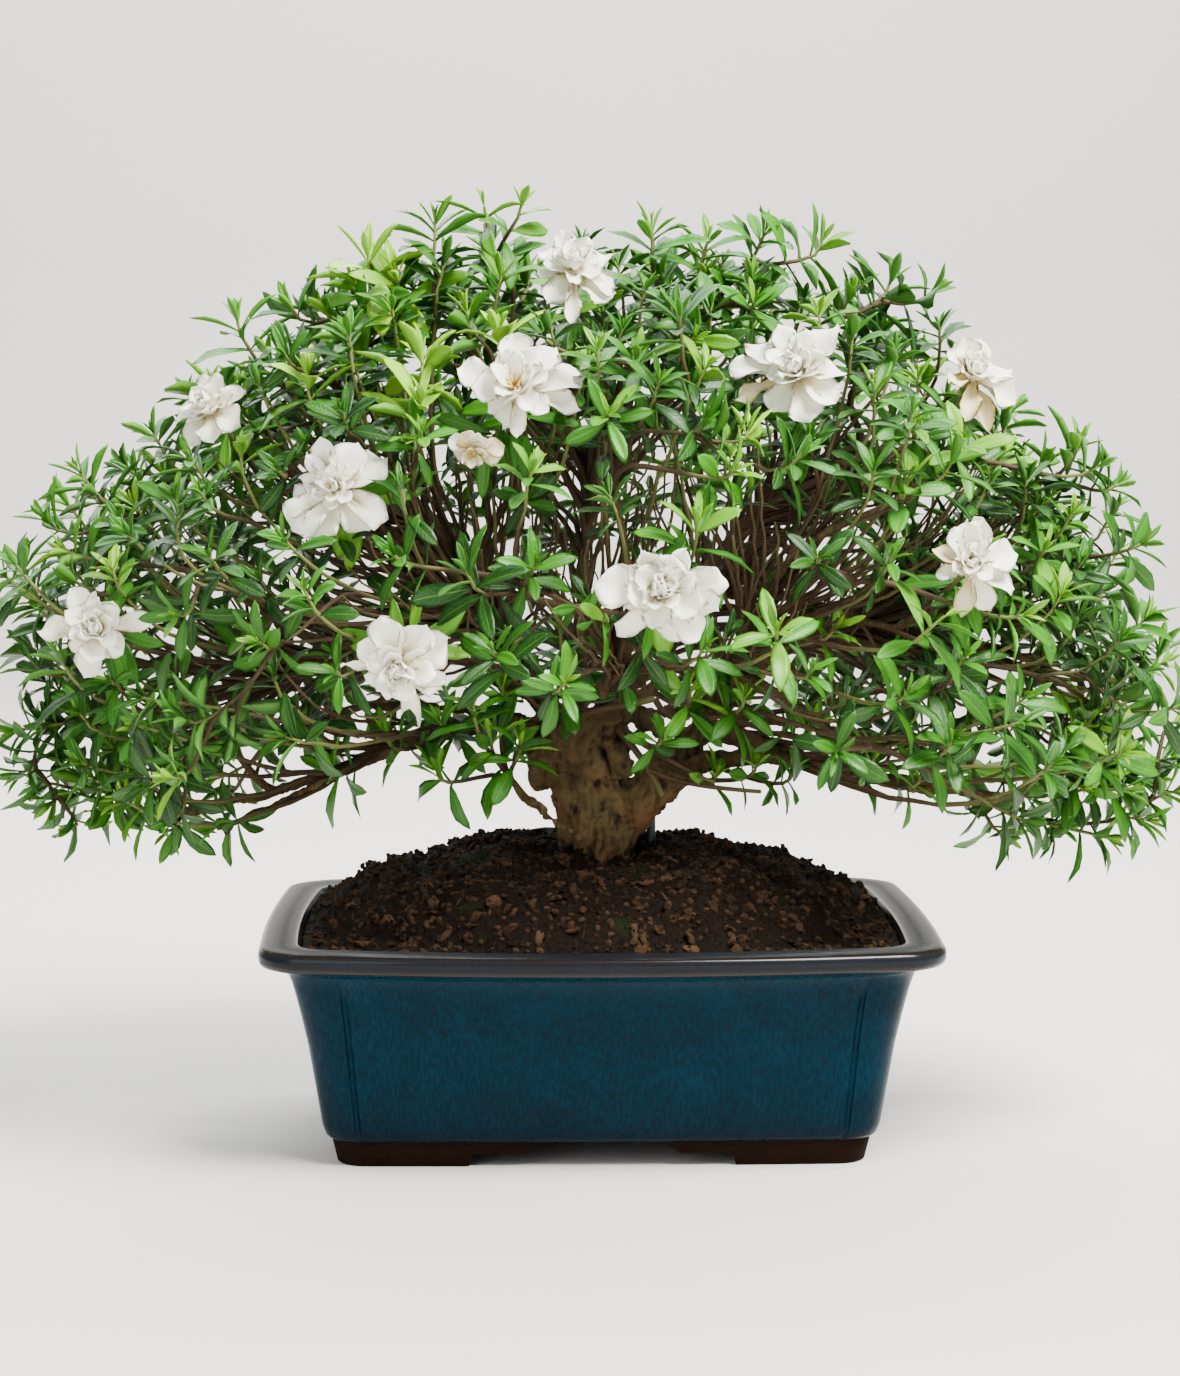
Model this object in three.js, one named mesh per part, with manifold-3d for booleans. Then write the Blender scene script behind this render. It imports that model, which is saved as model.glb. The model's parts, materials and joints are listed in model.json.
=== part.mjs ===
// A gardenia trained as a low, wide tree in a glazed rectangular pot.
// Millimetres, +Z up, the front of the pot towards -Y. The origin is on the table surface,
// below the middle of the pot.
import * as THREE from "three";
import { mergeVertices } from "three/addons/utils/BufferGeometryUtils.js";
import Module from "manifold-3d";

const wasm = await Module();
wasm.setup();

// ---------------------------------------------------------------- driving dimensions

// The space left between pieces that touch.
const GAP = 0.3;

// Pot: outside sizes from the table up. Widths and depths are measured to the corners; the long
// sides bow out by `bow` in their middle, the short sides by `sideBow`. `corner` is the radius of
// the corners, and a groove runs down the long sides `grooveIn` from each.
const FOOT_HEIGHT = 12.5;
const APRON_HEIGHT = 6.5;
const FOOT_GAP_HALF_WIDTH = 31;
const APRON_HALF_WIDTH = 63;
const FOOT_SLANT = 7;
const APRON_FLARE = 2;
const FOOT_THICKNESS = 14;
const FOOT_TAPER = 3.5;
const FOOT_SINK = 1.5;
const SIDE_GAP_NARROWER = 12;
const POT_DEPTH_LESS_WIDTH = 46;
const POT_HEIGHT = 110;
const FLOOR_TOP = 22;
const BODY_CORNER = 14;
const RIM_CORNER = 20;
const LEAST_CORNER = 3;
const CORNER_ANGLES = [0, 45, 90];
const SHORT_SIDE_POINT = 0.6;
const LONG_SIDE_POINT = 0.45;
const GROOVE_HALF_WIDTH = 1.6;
const GROOVE_DEPTH = 1.4;
const WALL = { corner: BODY_CORNER, groove: GROOVE_DEPTH };
const RIM = { corner: RIM_CORNER, groove: 0, grooveIn: 25 };
const INSIDE = { corner: BODY_CORNER, groove: 0, grooveIn: 25 };
const POT_OUTSIDE = [
  { ...WALL, z: FOOT_HEIGHT, halfWidth: 132, bow: 2, sideBow: 1, grooveIn: 17 },
  { ...WALL, z: 30, halfWidth: 136.5, bow: 4, sideBow: 2, grooveIn: 18 },
  { ...WALL, z: 90, halfWidth: 147.5, bow: 11, sideBow: 4, grooveIn: 23.5 },
  { ...RIM, z: 98, halfWidth: 151.5, bow: 14, sideBow: 4 },
  { ...RIM, z: 101, halfWidth: 161.5, bow: 17, sideBow: 4 },
  { ...RIM, z: 107.5, halfWidth: 163, bow: 18, sideBow: 4 },
  { ...RIM, z: POT_HEIGHT, halfWidth: 160.5, bow: 18, sideBow: 4 },
];
const POT_INSIDE = [
  { ...INSIDE, z: POT_HEIGHT, halfWidth: 144, bow: 16, sideBow: 4 },
  { ...INSIDE, z: 103, halfWidth: 142, bow: 15, sideBow: 4 },
  { ...INSIDE, z: 92, halfWidth: 136.5, bow: 11, sideBow: 4 },
  { ...INSIDE, z: FLOOR_TOP, halfWidth: 120, bow: 5, sideBow: 2 },
];
const DRAIN_HOLE_RADIUS = 11;
const DRAIN_HOLE_X = 58;

// Drain screens: slotted plates that lie on the floor over the holes.
const SCREEN_WIDTH = 36;
const SCREEN_THICKNESS = 1.2;
const SCREEN_SLOTS = 3;
const SCREEN_SLOT_WIDTH = 5;
const SCREEN_MARGIN = 4.5;

// Soil: a mound, highest behind the trunk and scooped out in front of it.
const SOIL_EDGE_Z = 106.5;
const SOIL_MOUND = 41;
const SOIL_PEAK_Y = 18;
const SOIL_DIP = 9;
const SOIL_DIP_Y = -30;
const SOIL_DIP_SPREAD = 28;
const SOIL_ROUNDNESS = 0.6;
const SOIL_LUMP = 2.4;
const SOIL_LUMP_PITCH = 8.5;
const SOIL_RINGS = [0.86, 0.7, 0.53, 0.36, 0.19];

// Trunk: centre line with the radius of the wood at each point.
const TRUNK = [
  { at: [2, 2, 72], radius: 13 },
  { at: [2, 0, 118], radius: 19 },
  { at: [1, 0, 130], radius: 17.5 },
  { at: [1, 0, 143], radius: 15.5 },
  { at: [1, 0, 154], radius: 18 },
  { at: [-2, 0, 167], radius: 19 },
  { at: [-6, 0, 180], radius: 16.5 },
  { at: [-10, 1, 193], radius: 24 },
  { at: [-11, 2, 205], radius: 23 },
  { at: [-11, 2, 213], radius: 13 },
];
const TRUNK_SIDES = 14;
const TRUNK_LOBE = { count: 3, share: 0.1, pitch: 14 };
const TRUNK_RIB = { count: 5, share: 0.06, pitch: -9 };

// Limbs: hand-set centre lines from the trunk out, with the radius at both ends.
const LIMBS = [
  {
    from: 12.5,
    to: 3.2,
    line: [[5, 0, 148], [20, -2, 170], [42, -5, 196], [62, -7, 204], [113, -10, 186], [169, -12, 176],
      [212, -10, 164]],
  },
  {
    from: 9,
    to: 3,
    line: [[-14, 0, 194], [-42, -4, 208], [-97, -8, 200], [-147, -12, 178], [-208, -10, 164]],
  },
  {
    from: 8,
    to: 3,
    line: [[-16, 4, 196], [-47, 6, 232], [-110, 8, 240], [-172, 8, 232], [-212, 4, 240]],
  },
  { from: 8, to: 3, line: [[-14, 6, 200], [-48, 12, 262], [-92, 16, 312], [-140, 18, 345]] },
  { from: 8, to: 3, line: [[-9, 6, 202], [-8, 14, 270], [-2, 16, 330], [4, 12, 378]] },
  { from: 8, to: 3, line: [[-4, 4, 200], [38, 10, 262], [84, 14, 316], [132, 16, 345]] },
  { from: 8, to: 3, line: [[34, -4, 188], [78, 2, 232], [140, 4, 262], [205, 2, 278]] },
  { from: 6.5, to: 2.8, line: [[-13, -6, 200], [-44, -40, 248], [-78, -76, 292]] },
  { from: 6.5, to: 2.8, line: [[44, -6, 198], [62, -42, 240], [90, -76, 292]] },
  { from: 6, to: 2.8, line: [[-6, -8, 200], [4, -50, 232], [14, -96, 262]] },
  { from: 7, to: 2.8, line: [[-13, 8, 200], [-52, 52, 256], [-92, 92, 296]] },
  { from: 7, to: 2.8, line: [[-2, 8, 200], [52, 52, 256], [96, 92, 296]] },
  { from: 6.5, to: 2.8, line: [[-8, 10, 198], [-8, 62, 228], [-6, 108, 252]] },
  { from: 3.6, to: 2.6, line: [[-2, -8, 146], [-22, -30, 160], [-37, -42, 174]] },
];
// A spray low on the trunk, in front: where it starts, where its tip is, and how it points.
const LOW_SPRAY = { base: [-43, -47, 183], tip: [-54, -55, 207], heading: [-0.5, -0.35, 0.8] };
const LIMB_SIDES = 6;
const LIMB_STEP = 34;
const BRANCH_RADIUS = 2.7;
const STEM_RADIUS = 1.9;
const BRANCH_SIDES = 4;
const BRANCH_STEPS = 2;
// A branch leaves its limb along it and arrives in its spray's direction, each for a share of its
// length. It may start at these places along a limb, and turning costs as much as extra length.
const BRANCH_LEAVES = 0.3;
const BRANCH_ARRIVES = 0.35;
const BRANCH_PLACES = [0.3, 0.4, 0.5, 0.6, 0.7, 0.8, 0.9, 1];
const TURNING_COST = 0.8;

// Stake that props the right-hand limb.
const STAKE_X = 27;
const STAKE_Y = 2;
const STAKE_RADIUS = 2.3;
const STAKE_FOOT_Z = 98;
const STAKE_UNCUT_TOP_Z = 190;
const STAKE_SIDES = 8;

// Crown: a low dome. Tips sit on it in rings, measured in degrees from the top.
const CROWN_CENTRE_Z = 268;
const CROWN_HALF_WIDTH = 284;
const CROWN_HALF_DEPTH = 168;
const CROWN_RISE = 170;
const CROWN_DROP = 250;
const CROWN_RINGS = [
  { fromTop: 13, sprays: 2, turn: 20 },
  { fromTop: 37, sprays: 4, turn: 8 },
  { fromTop: 60, sprays: 6, turn: 32 },
  { fromTop: 84, sprays: 7, turn: 0 },
  { fromTop: 109, sprays: 6, turn: 14 },
];
// How far the tips are evened out at the narrow ends, how far out a spray's base sits, how far its
// two tips stand apart in degrees and are drawn in at random, and how much they look upwards.
const SIDE_STRETCH = 0.115;
const BASE_REACH = 0.76;
const TIP_SPREAD = 5;
const TIP_PULL = 6;
const UPWARD_LEAN = 0.35;
const DOME_SEED = 4177;
const LEAF_SEED = 20117;
// Low down, this much of the front is left open, so that the trunk shows.
const OPEN_FRONT_FROM_TOP = 100;
const OPEN_FRONT_HALF_ANGLE = 42;

// Leaves: opposite pairs, from the oldest at the bottom of a rosette to the youngest on top.
const LEAF_STATIONS = [{ at: 0.36, width: 0.82 }, { at: 0.7, width: 1 }];
const YOUNG_LEAF_STATIONS = [{ at: 0.54, width: 1 }];
const LEAF_PAIRS = [
  { length: 44, lift: 12, band: 3.4, stations: LEAF_STATIONS },
  { length: 39, lift: 36, band: 3, stations: LEAF_STATIONS },
  { length: 27, lift: 60, band: 2.4, stations: YOUNG_LEAF_STATIONS },
];
const LEAF_WIDTH_SHARE = 0.17;
const LEAF_THICKNESS = 1.1;
const LEAF_FOLD = 20;
const LEAF_CURL = 52;
const LEAF_VARIES = { length: 0.14, lift: 9, curl: 20, roll: 16 };
const TWIG_TIP_RADIUS = 1.5;
const BUD_LENGTH = 6;
const PAIR_NARROWS = 0.08;
const CALYX_LENGTH = 4;
const CALYX_RADIUS = 2.3;
const SHOOT_STEPS = 2;
const SHOOT_LEAVES = 0.35;
const SHOOT_ARRIVES = 0.3;
// Room kept round a new leaf, and the narrow section by its root where that room starts.
const TEST_MARGIN = GAP + 0.15;
const TEST_ROOT = { at: 0.12, width: 0.25 };
// The changes of lift and length that a leaf tries in turn to pass what is in its way.
const LEAF_TRIES = [
  { lift: 0, length: 1 },
  { lift: 14, length: 1 },
  { lift: -14, length: 1 },
  { lift: 6, length: 0.82 },
  { lift: 26, length: 0.82 },
  { lift: -22, length: 0.82 },
  { lift: 10, length: 0.66 },
];
// Sideways bends, in millimetres, that a stem tries in turn to pass what is in its way.
const BEND_TRIES = [[0, 0], [9, 0], [-9, 0], [0, 9], [0, -9], [18, 0], [-18, 0], [0, 18], [0, -18],
  [18, 18], [-18, 18], [18, -18], [-18, -18]];

// Blooms: where each one's heart is, which way it faces and its radius.
const BLOOMS = [
  { at: [-9, -46, 424], facing: [0, -0.75, 0.66], radius: 25 },
  { at: [-36, -124, 372], facing: [-0.1, -0.9, 0.42], radius: 29 },
  { at: [90, -94, 376], facing: [-0.3, -0.75, 0.6], radius: 26 },
  { at: [188, -34, 371], facing: [0.6, -0.4, 0.7], radius: 25 },
  { at: [-122, -122, 322], facing: [-0.2, -0.95, 0.2], radius: 25 },
  { at: [25, -172, 274], facing: [0, -1, 0.05], radius: 28 },
  { at: [172, -128, 285], facing: [0.6, -0.75, 0.2], radius: 24 },
  { at: [-237, -96, 257], facing: [-0.15, -0.98, 0.1], radius: 26 },
  { at: [-89, -164, 246], facing: [-0.1, -0.95, -0.25], radius: 24 },
  { at: [-190, -50, 355], facing: [-0.4, -0.7, 0.6], radius: 20 },
];
const WILTED_BLOOM = { at: [-70, -126, 332], facing: [-0.35, -0.85, -0.35], radius: 17 };
const BLOOM_BANDS = [
  { rise: 3, radius: 4.6, every: 1, reach: 0.84, width: 0.33, lift: 6, curl: 28 },
  { rise: 3, radius: 3.8, every: 1, reach: 0.66, width: 0.26, lift: 38, curl: 22 },
  { rise: 2.6, radius: 2.4, every: 2, reach: 0.44, width: 0.22, lift: 66, curl: -10 },
];
const BLOOM_SIDES = 6;
const BLOOM_TUBE = 11;
const BLOOM_TUBE_RADIUS = 2.2;
const WHORL_TURN = 15;
const HEART_RISE = 1.5;
const DROOP_OUTER = -38;
const DROOP_INNER = 12;
const PETAL_THICKNESS = 1;
const PETAL_VARIES = 0.06;
const PETAL_ROLL = 9;
const PETAL_CUP = 14;
const PETAL_STATIONS = [{ at: 0.4, width: 0.8 }, { at: 0.78, width: 0.9 }];
// A bloom's stem: how far it runs straight behind the bloom and then in towards the trunk.
const FLOWER_STEM_STRAIGHT = 28;
const FLOWER_STEM_INWARD = 34;
const FLOWER_LEAF_LOWER = 6;

// ---------------------------------------------------------------- colours and finishes

const finish = (color, roughness, metalness = 0) => ({ color, roughness, metalness, flatShading: true });
const GLAZE = finish(0x17425c, 0.22);
const SOIL = finish(0x33231a, 0.95);
const BARK = finish(0x5a4a38, 0.85);
const LEAF = finish(0x3c7a2c, 0.38);
const YOUNG_LEAF = finish(0x6da03a, 0.4);
const PETAL = finish(0xf4f1e6, 0.55);
const OLD_PETAL = finish(0xd9c27e, 0.65);
const SCREEN = finish(0x26282a, 0.6);
const STAKE = finish(0x1c3a3a, 0.45);

// ---------------------------------------------------------------- small helpers

const radians = THREE.MathUtils.degToRad;
const vector = (values) => new THREE.Vector3(...values);

// A repeatable series of numbers from 0 to 1.
function makeRandom(seed) {
  let state = seed;
  return () => {
    state = (state * 48271) % 2147483647;
    return state / 2147483647;
  };
}

// A number spread evenly between -1 and 1.
const eitherWay = (random) => 2 * random() - 1;

// `start` moved by each pair of direction and distance.
function moved(start, ...steps) {
  const point = start.clone();
  for (const [direction, distance] of steps) point.addScaledVector(direction, distance);
  return point;
}

// A closed skin of triangles, built ring by ring. Every ring runs the same way round.
class Skin {
  constructor() {
    this.points = [];
    this.triangles = [];
  }

  ring(points) {
    return points.map((point) => this.points.push(point) - 1);
  }

  // Joins two rings. `skip` leaves out some of the faces, for something else to grow from.
  band(lower, upper, skip = () => false) {
    lower.forEach((_, k) => {
      if (!skip(k)) this.face(lower, upper, k);
    });
  }

  // One face between two rings. Diagonals run from an even corner, so that the upper and the lower
  // side of a blade are split alike.
  face(lower, upper, k) {
    const next = (k + 1) % lower.length;
    if (k % 2 === 0) {
      this.triangles.push([lower[k], lower[next], upper[next]], [lower[k], upper[next], upper[k]]);
    } else {
      this.triangles.push([lower[k], lower[next], upper[k]], [lower[next], upper[next], upper[k]]);
    }
  }

  // Closes a ring with a fan to one point beyond it.
  close(ring, point) {
    const [tip] = this.ring([point]);
    ring.forEach((corner, k) => this.triangles.push([corner, ring[(k + 1) % ring.length], tip]));
  }

  // Closes a flat, convex ring without a point of its own.
  closeFlat(ring) {
    for (let k = 1; k < ring.length - 1; k += 1) this.triangles.push([ring[0], ring[k], ring[k + 1]]);
  }

  solid() {
    const vertProperties = Float32Array.from(this.points.flatMap((point) => point.toArray()));
    const triVerts = Uint32Array.from(this.triangles.flat());
    return new wasm.Manifold(new wasm.Mesh({ numProp: 3, vertProperties, triVerts }));
  }
}

const middle = (points) => {
  const sum = points.reduce((total, point) => total.add(point), new THREE.Vector3());
  return sum.divideScalar(points.length);
};

// Stacks rings of points into a closed solid that ends in `top`, or in its last ring's middle.
function stack(rings, top = middle(rings[rings.length - 1])) {
  const skin = new Skin();
  const numbered = rings.map((points) => skin.ring(points));
  skin.close([...numbered[0]].reverse(), middle(rings[0]));
  numbered.slice(1).forEach((ring, k) => skin.band(numbered[k], ring));
  skin.close(numbered[numbered.length - 1], top);
  return skin.solid();
}

// Frames at even steps along a curve, which follow it without twisting.
function framesAlong(curve, steps) {
  const frames = [];
  for (let k = 0; k <= steps; k += 1) {
    const point = curve.getPoint(k / steps);
    const along = curve.getTangent(k / steps);
    const last = k ? frames[k - 1].side : new THREE.Vector3(0.3, -0.9, 0.2);
    const side = moved(last, [along, -last.dot(along)]).normalize();
    frames.push({ point, along, side, other: along.clone().cross(side) });
  }
  return frames;
}

// One round section of a stem. `shape` scales the radius at each angle.
function section(frame, radius, sides, shape = () => 1) {
  return Array.from({ length: sides }, (_, k) => {
    const angle = (2 * Math.PI * (k + 0.5)) / sides;
    const reach = radius * shape(angle, frame.point);
    const [across, over] = [reach * Math.cos(angle), reach * Math.sin(angle)];
    return moved(frame.point, [frame.side, across], [frame.other, over]);
  });
}

// A stem along a curve, its radius changing evenly from one end to the other.
function stem(curve, steps, fromRadius, toRadius, sides) {
  const skin = new Skin();
  const rings = framesAlong(curve, steps).map((frame, k) => {
    const radius = fromRadius + ((toRadius - fromRadius) * k) / steps;
    return skin.ring(section(frame, radius, sides));
  });
  skin.closeFlat([...rings[0]].reverse());
  rings.slice(1).forEach((ring, k) => skin.band(rings[k], ring));
  skin.closeFlat(rings[steps]);
  return skin.solid();
}

// ---------------------------------------------------------------- pot, screens, soil

// A rounded rectangle whose sides bow out. A groove of three points runs near each corner.
function potOutline(level, inset = 0, grooved = true) {
  const { z, halfWidth, bow, sideBow, corner, groove, grooveIn } = level;
  const wide = halfWidth - inset;
  const deep = halfWidth - POT_DEPTH_LESS_WIDTH - inset;
  const radius = Math.max(corner - inset, LEAST_CORNER);
  const quarter = [[wide, 0], [wide, (deep - radius) * SHORT_SIDE_POINT]];
  for (const angle of CORNER_ANGLES.map(radians)) {
    quarter.push([wide - radius * (1 - Math.cos(angle)), deep - radius * (1 - Math.sin(angle))]);
  }
  if (grooved) {
    quarter.push([wide - grooveIn + GROOVE_HALF_WIDTH, deep]);
    quarter.push([wide - grooveIn, deep - groove]);
    quarter.push([wide - grooveIn - GROOVE_HALF_WIDTH, deep]);
  }
  quarter.push([wide * LONG_SIDE_POINT, deep]);
  const back = [...quarter, [0, deep], ...quarter.slice(1).reverse().map(([x, y]) => [-x, y])];
  const front = back.map(([x, y]) => [-x, -y]);
  return [...back, ...front].map(([x, y]) => new THREE.Vector3(
    x + Math.sign(x) * sideBow * (1 - (y / deep) ** 2),
    y + Math.sign(y) * bow * (1 - (x / wide) ** 2),
    z,
  ));
}

// A solid of constant section from a flat outline, run right under the pot along Y or X.
function crossCutter(outline, alongX) {
  const shape = new THREE.Shape(outline.map(([across, up]) => new THREE.Vector2(across, up)));
  const depth = 3 * POT_OUTSIDE[0].halfWidth;
  const geometry = new THREE.ExtrudeGeometry(shape, { depth, bevelEnabled: false });
  geometry.translate(0, 0, -depth / 2);
  geometry.rotateX(Math.PI / 2);
  if (alongX) geometry.rotateZ(Math.PI / 2);
  return solidOf(geometry);
}

// Merges the corners of a three.js geometry that lie in one place and makes it a solid.
function solidOf(geometry) {
  geometry.deleteAttribute("normal");
  geometry.deleteAttribute("uv");
  const merged = mergeVertices(geometry);
  const vertProperties = merged.getAttribute("position").array;
  const triVerts = Uint32Array.from(merged.index.array);
  return new wasm.Manifold(new wasm.Mesh({ numProp: 3, vertProperties, triVerts }));
}

function drainHole(x) {
  const hole = new THREE.CylinderGeometry(DRAIN_HOLE_RADIUS, DRAIN_HOLE_RADIUS, 2 * FLOOR_TOP, 12);
  hole.rotateX(Math.PI / 2);
  hole.translate(x, 0, FLOOR_TOP);
  return solidOf(hole);
}

// The skirt under the body, cut into four corner feet by a stepped notch in each side.
function potFeet() {
  const base = POT_OUTSIDE[0];
  const foot = { ...base, z: 0, halfWidth: base.halfWidth - FOOT_TAPER };
  const top = { ...base, z: FOOT_HEIGHT + FOOT_SINK, halfWidth: base.halfWidth - GAP };
  const below = { ...foot, z: -1 };
  const above = { ...top, z: top.z + 1 };
  const skirt = stack([potOutline(foot, 0, false), potOutline(top, 0, false)]);
  const inside = stack([below, above].map((level) => potOutline(level, FOOT_THICKNESS, false)));
  const notch = (narrow) => {
    const middleGap = FOOT_GAP_HALF_WIDTH - narrow;
    const apron = APRON_HALF_WIDTH - narrow;
    const right = [
      [apron + APRON_FLARE, -1],
      [apron, APRON_HEIGHT],
      [middleGap + FOOT_SLANT, APRON_HEIGHT],
      [middleGap, FOOT_HEIGHT],
    ];
    return [...right, ...right.map(([x, up]) => [-x, up]).reverse()];
  };
  const across = crossCutter(notch(0), false);
  const along = crossCutter(notch(SIDE_GAP_NARROWER), true);
  return skirt.subtract(inside).subtract(across).subtract(along);
}

function makePot() {
  const levels = [...POT_OUTSIDE, ...POT_INSIDE];
  const body = stack(levels.map((level) => potOutline(level)));
  const drained = body.subtract(drainHole(-DRAIN_HOLE_X)).subtract(drainHole(DRAIN_HOLE_X));
  return drained.add(potFeet());
}

function box(wide, deep, high, x, y, z) {
  return solidOf(new THREE.BoxGeometry(wide, deep, high).translate(x, y, z));
}

function makeScreen(x) {
  const z = FLOOR_TOP + GAP + SCREEN_THICKNESS / 2;
  const reach = SCREEN_WIDTH / 2 - SCREEN_MARGIN;
  const pitch = (2 * reach - SCREEN_SLOT_WIDTH) / (SCREEN_SLOTS - 1);
  let plate = box(SCREEN_WIDTH, SCREEN_WIDTH, SCREEN_THICKNESS, x, 0, z);
  for (let k = 0; k < SCREEN_SLOTS; k += 1) {
    const slotX = x - reach + SCREEN_SLOT_WIDTH / 2 + k * pitch;
    plate = plate.subtract(box(SCREEN_SLOT_WIDTH, 2 * reach, 2 * SCREEN_THICKNESS, slotX, 0, z));
  }
  return plate;
}

// The height of the soil at a place in the pot.
function soilHeight(x, y) {
  const inside = POT_INSIDE[1];
  const wide = inside.halfWidth + inside.sideBow;
  const deep = inside.halfWidth - POT_DEPTH_LESS_WIDTH + inside.bow;
  const reachY = y > SOIL_PEAK_Y ? deep - SOIL_PEAK_Y : deep + SOIL_PEAK_Y;
  const out = Math.min((x / wide) ** 2 + ((y - SOIL_PEAK_Y) / reachY) ** 2, 1);
  const dip = Math.exp(-(x ** 2 + (y - SOIL_DIP_Y) ** 2) / SOIL_DIP_SPREAD ** 2);
  const rows = Math.sin(y / SOIL_LUMP_PITCH);
  const lumps = Math.sin(x / SOIL_LUMP_PITCH + rows) * rows;
  const relief = SOIL_LUMP * lumps * (1 - out ** 4);
  return SOIL_EDGE_Z + SOIL_MOUND * (1 - out) ** SOIL_ROUNDNESS - SOIL_DIP * dip + relief;
}

function makeSoil(holes) {
  const [rim, shoulder, wall, floor] = POT_INSIDE;
  const rise = (SOIL_EDGE_Z - shoulder.z) / (rim.z - shoulder.z);
  const edge = { ...shoulder, z: SOIL_EDGE_Z };
  edge.halfWidth += rise * (rim.halfWidth - shoulder.halfWidth);
  const sides = [{ ...floor, z: FLOOR_TOP + GAP }, wall, shoulder, edge];
  const rings = sides.map((level) => potOutline(level, GAP, false));
  const outline = rings[rings.length - 1];
  for (const share of SOIL_RINGS) {
    rings.push(outline.map(({ x, y }) => {
      const [across, deep] = [x * share, y * share];
      return new THREE.Vector3(across, deep, soilHeight(across, deep));
    }));
  }
  const mound = stack(rings, new THREE.Vector3(0, 0, soilHeight(0, 0)));
  return holes.reduce((soil, hole) => soil.subtract(hole), mound);
}

// Room in the soil for a drain screen that lies on the floor.
function screenRoom(x) {
  const size = SCREEN_WIDTH + 2 * GAP;
  return box(size, size, 2 * (SCREEN_THICKNESS + GAP), x, 0, FLOOR_TOP + GAP);
}

// ---------------------------------------------------------------- wood

// Lobes and ribs that twist slowly round the trunk.
function trunkShape(angle, point) {
  const waves = [TRUNK_LOBE, TRUNK_RIB].map(({ count, share, pitch }) => {
    return share * Math.sin(count * angle + point.z / pitch);
  });
  return 1 + waves[0] + waves[1];
}

const smoothCurve = (line) => new THREE.CatmullRomCurve3(line.map(vector), false, "catmullrom", 0.5);

function makeTrunk(grow = 0) {
  const frames = framesAlong(smoothCurve(TRUNK.map(({ at }) => at)), TRUNK.length - 1);
  return stack(frames.map((frame, k) => section(frame, TRUNK[k].radius + grow, TRUNK_SIDES, trunkShape)));
}

function makeLimb({ from, to, line }, grow = 0) {
  const curve = smoothCurve(line);
  return stem(curve, Math.round(curve.getLength() / LIMB_STEP), from + grow, to + grow, LIMB_SIDES);
}

// The place on the limbs from which a branch reaches `base` with the least length and turning.
function branchRoot(base) {
  let best = null;
  for (const { line } of LIMBS) {
    const curve = smoothCurve(line);
    for (const share of BRANCH_PLACES) {
      const point = curve.getPoint(share);
      const along = curve.getTangent(share);
      const reach = base.clone().sub(point);
      const turning = 1 - reach.clone().normalize().dot(along);
      const cost = reach.length() * (1 + TURNING_COST * turning);
      if (!best || cost < best.cost) best = { cost, point, along };
    }
  }
  return best;
}

// The centre line of the branch that carries a spray. It ends heading the way the spray grows.
function branchLine({ base, heading }) {
  const { point, along } = branchRoot(base);
  const length = base.distanceTo(point);
  return new THREE.CubicBezierCurve3(
    moved(point, [along, -1]),
    moved(point, [along, length * BRANCH_LEAVES]),
    moved(base, [heading, -length * BRANCH_ARRIVES]),
    base,
  );
}

// An upright rod at the stake's place, from its foot to above the limb.
function uprightRod(radius, footZ) {
  const rod = new THREE.CylinderGeometry(radius, radius, STAKE_UNCUT_TOP_Z - footZ, STAKE_SIDES);
  rod.rotateX(Math.PI / 2);
  rod.translate(STAKE_X, STAKE_Y, (STAKE_UNCUT_TOP_Z + footZ) / 2);
  return solidOf(rod);
}

// Of the pieces that a join or a cut leaves, the largest one.
function mainPiece(solid) {
  return solid.decompose().reduce((most, piece) => (piece.volume() > most.volume() ? piece : most));
}

// ---------------------------------------------------------------- blades

// A leaf or petal: a thin blade that leaves its root along `out`, lifts towards `up` and curls down.
// Its sections have four corners: one edge, the underside, the other edge, the upper side.
function bladeSections(blade, extra = 0) {
  const { root, out, up, length, halfWidth, thickness } = blade;
  const lift = radians(blade.lift);
  const curl = radians(blade.curl);
  const across = up.clone().cross(out);
  const at = (share) => {
    const turned = lift - curl * share;
    const forward = (Math.sin(lift) - Math.sin(turned)) / curl;
    const upward = (Math.cos(turned) - Math.cos(lift)) / curl;
    return {
      point: moved(root, [out, length * forward], [up, length * upward]),
      normal: moved(new THREE.Vector3(), [up, Math.cos(turned)], [out, -Math.sin(turned)]),
    };
  };
  const roll = radians(blade.roll);
  const fold = radians(blade.fold);
  const sections = blade.stations.map((station) => {
    const { point, normal } = at(station.at);
    const side = moved(new THREE.Vector3(), [across, Math.cos(roll)], [normal, Math.sin(roll)]);
    const face = moved(new THREE.Vector3(), [normal, Math.cos(roll)], [across, -Math.sin(roll)]);
    const reach = (halfWidth * station.width + extra) * Math.cos(fold);
    const rise = (halfWidth * station.width) * Math.sin(fold);
    const half = thickness / 2 + extra;
    return [
      moved(point, [side, -reach], [face, rise]),
      moved(point, [face, -half]),
      moved(point, [side, reach], [face, rise]),
      moved(point, [face, half]),
    ];
  });
  return { sections, tip: at(1 + extra / length).point };
}

// Grows a blade from a face of a skin, given by its four corners.
function growBlade(skin, corners, blade) {
  const { sections, tip } = bladeSections(blade);
  let last = corners;
  for (const points of sections) {
    const ring = skin.ring(points);
    skin.band(last, ring);
    last = ring;
  }
  skin.close(last, tip);
}

// A blade by itself, a little fuller than it will be, to see what it would touch.
function testBlade(blade) {
  const stations = [TEST_ROOT, ...blade.stations];
  const { sections, tip } = bladeSections({ ...blade, stations }, TEST_MARGIN);
  return stack(sections, tip);
}

// ---------------------------------------------------------------- what stands where

const placed = [];

function boxesMeet(a, b) {
  return [0, 1, 2].every((k) => a.min[k] <= b.max[k] && b.min[k] <= a.max[k]);
}

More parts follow.
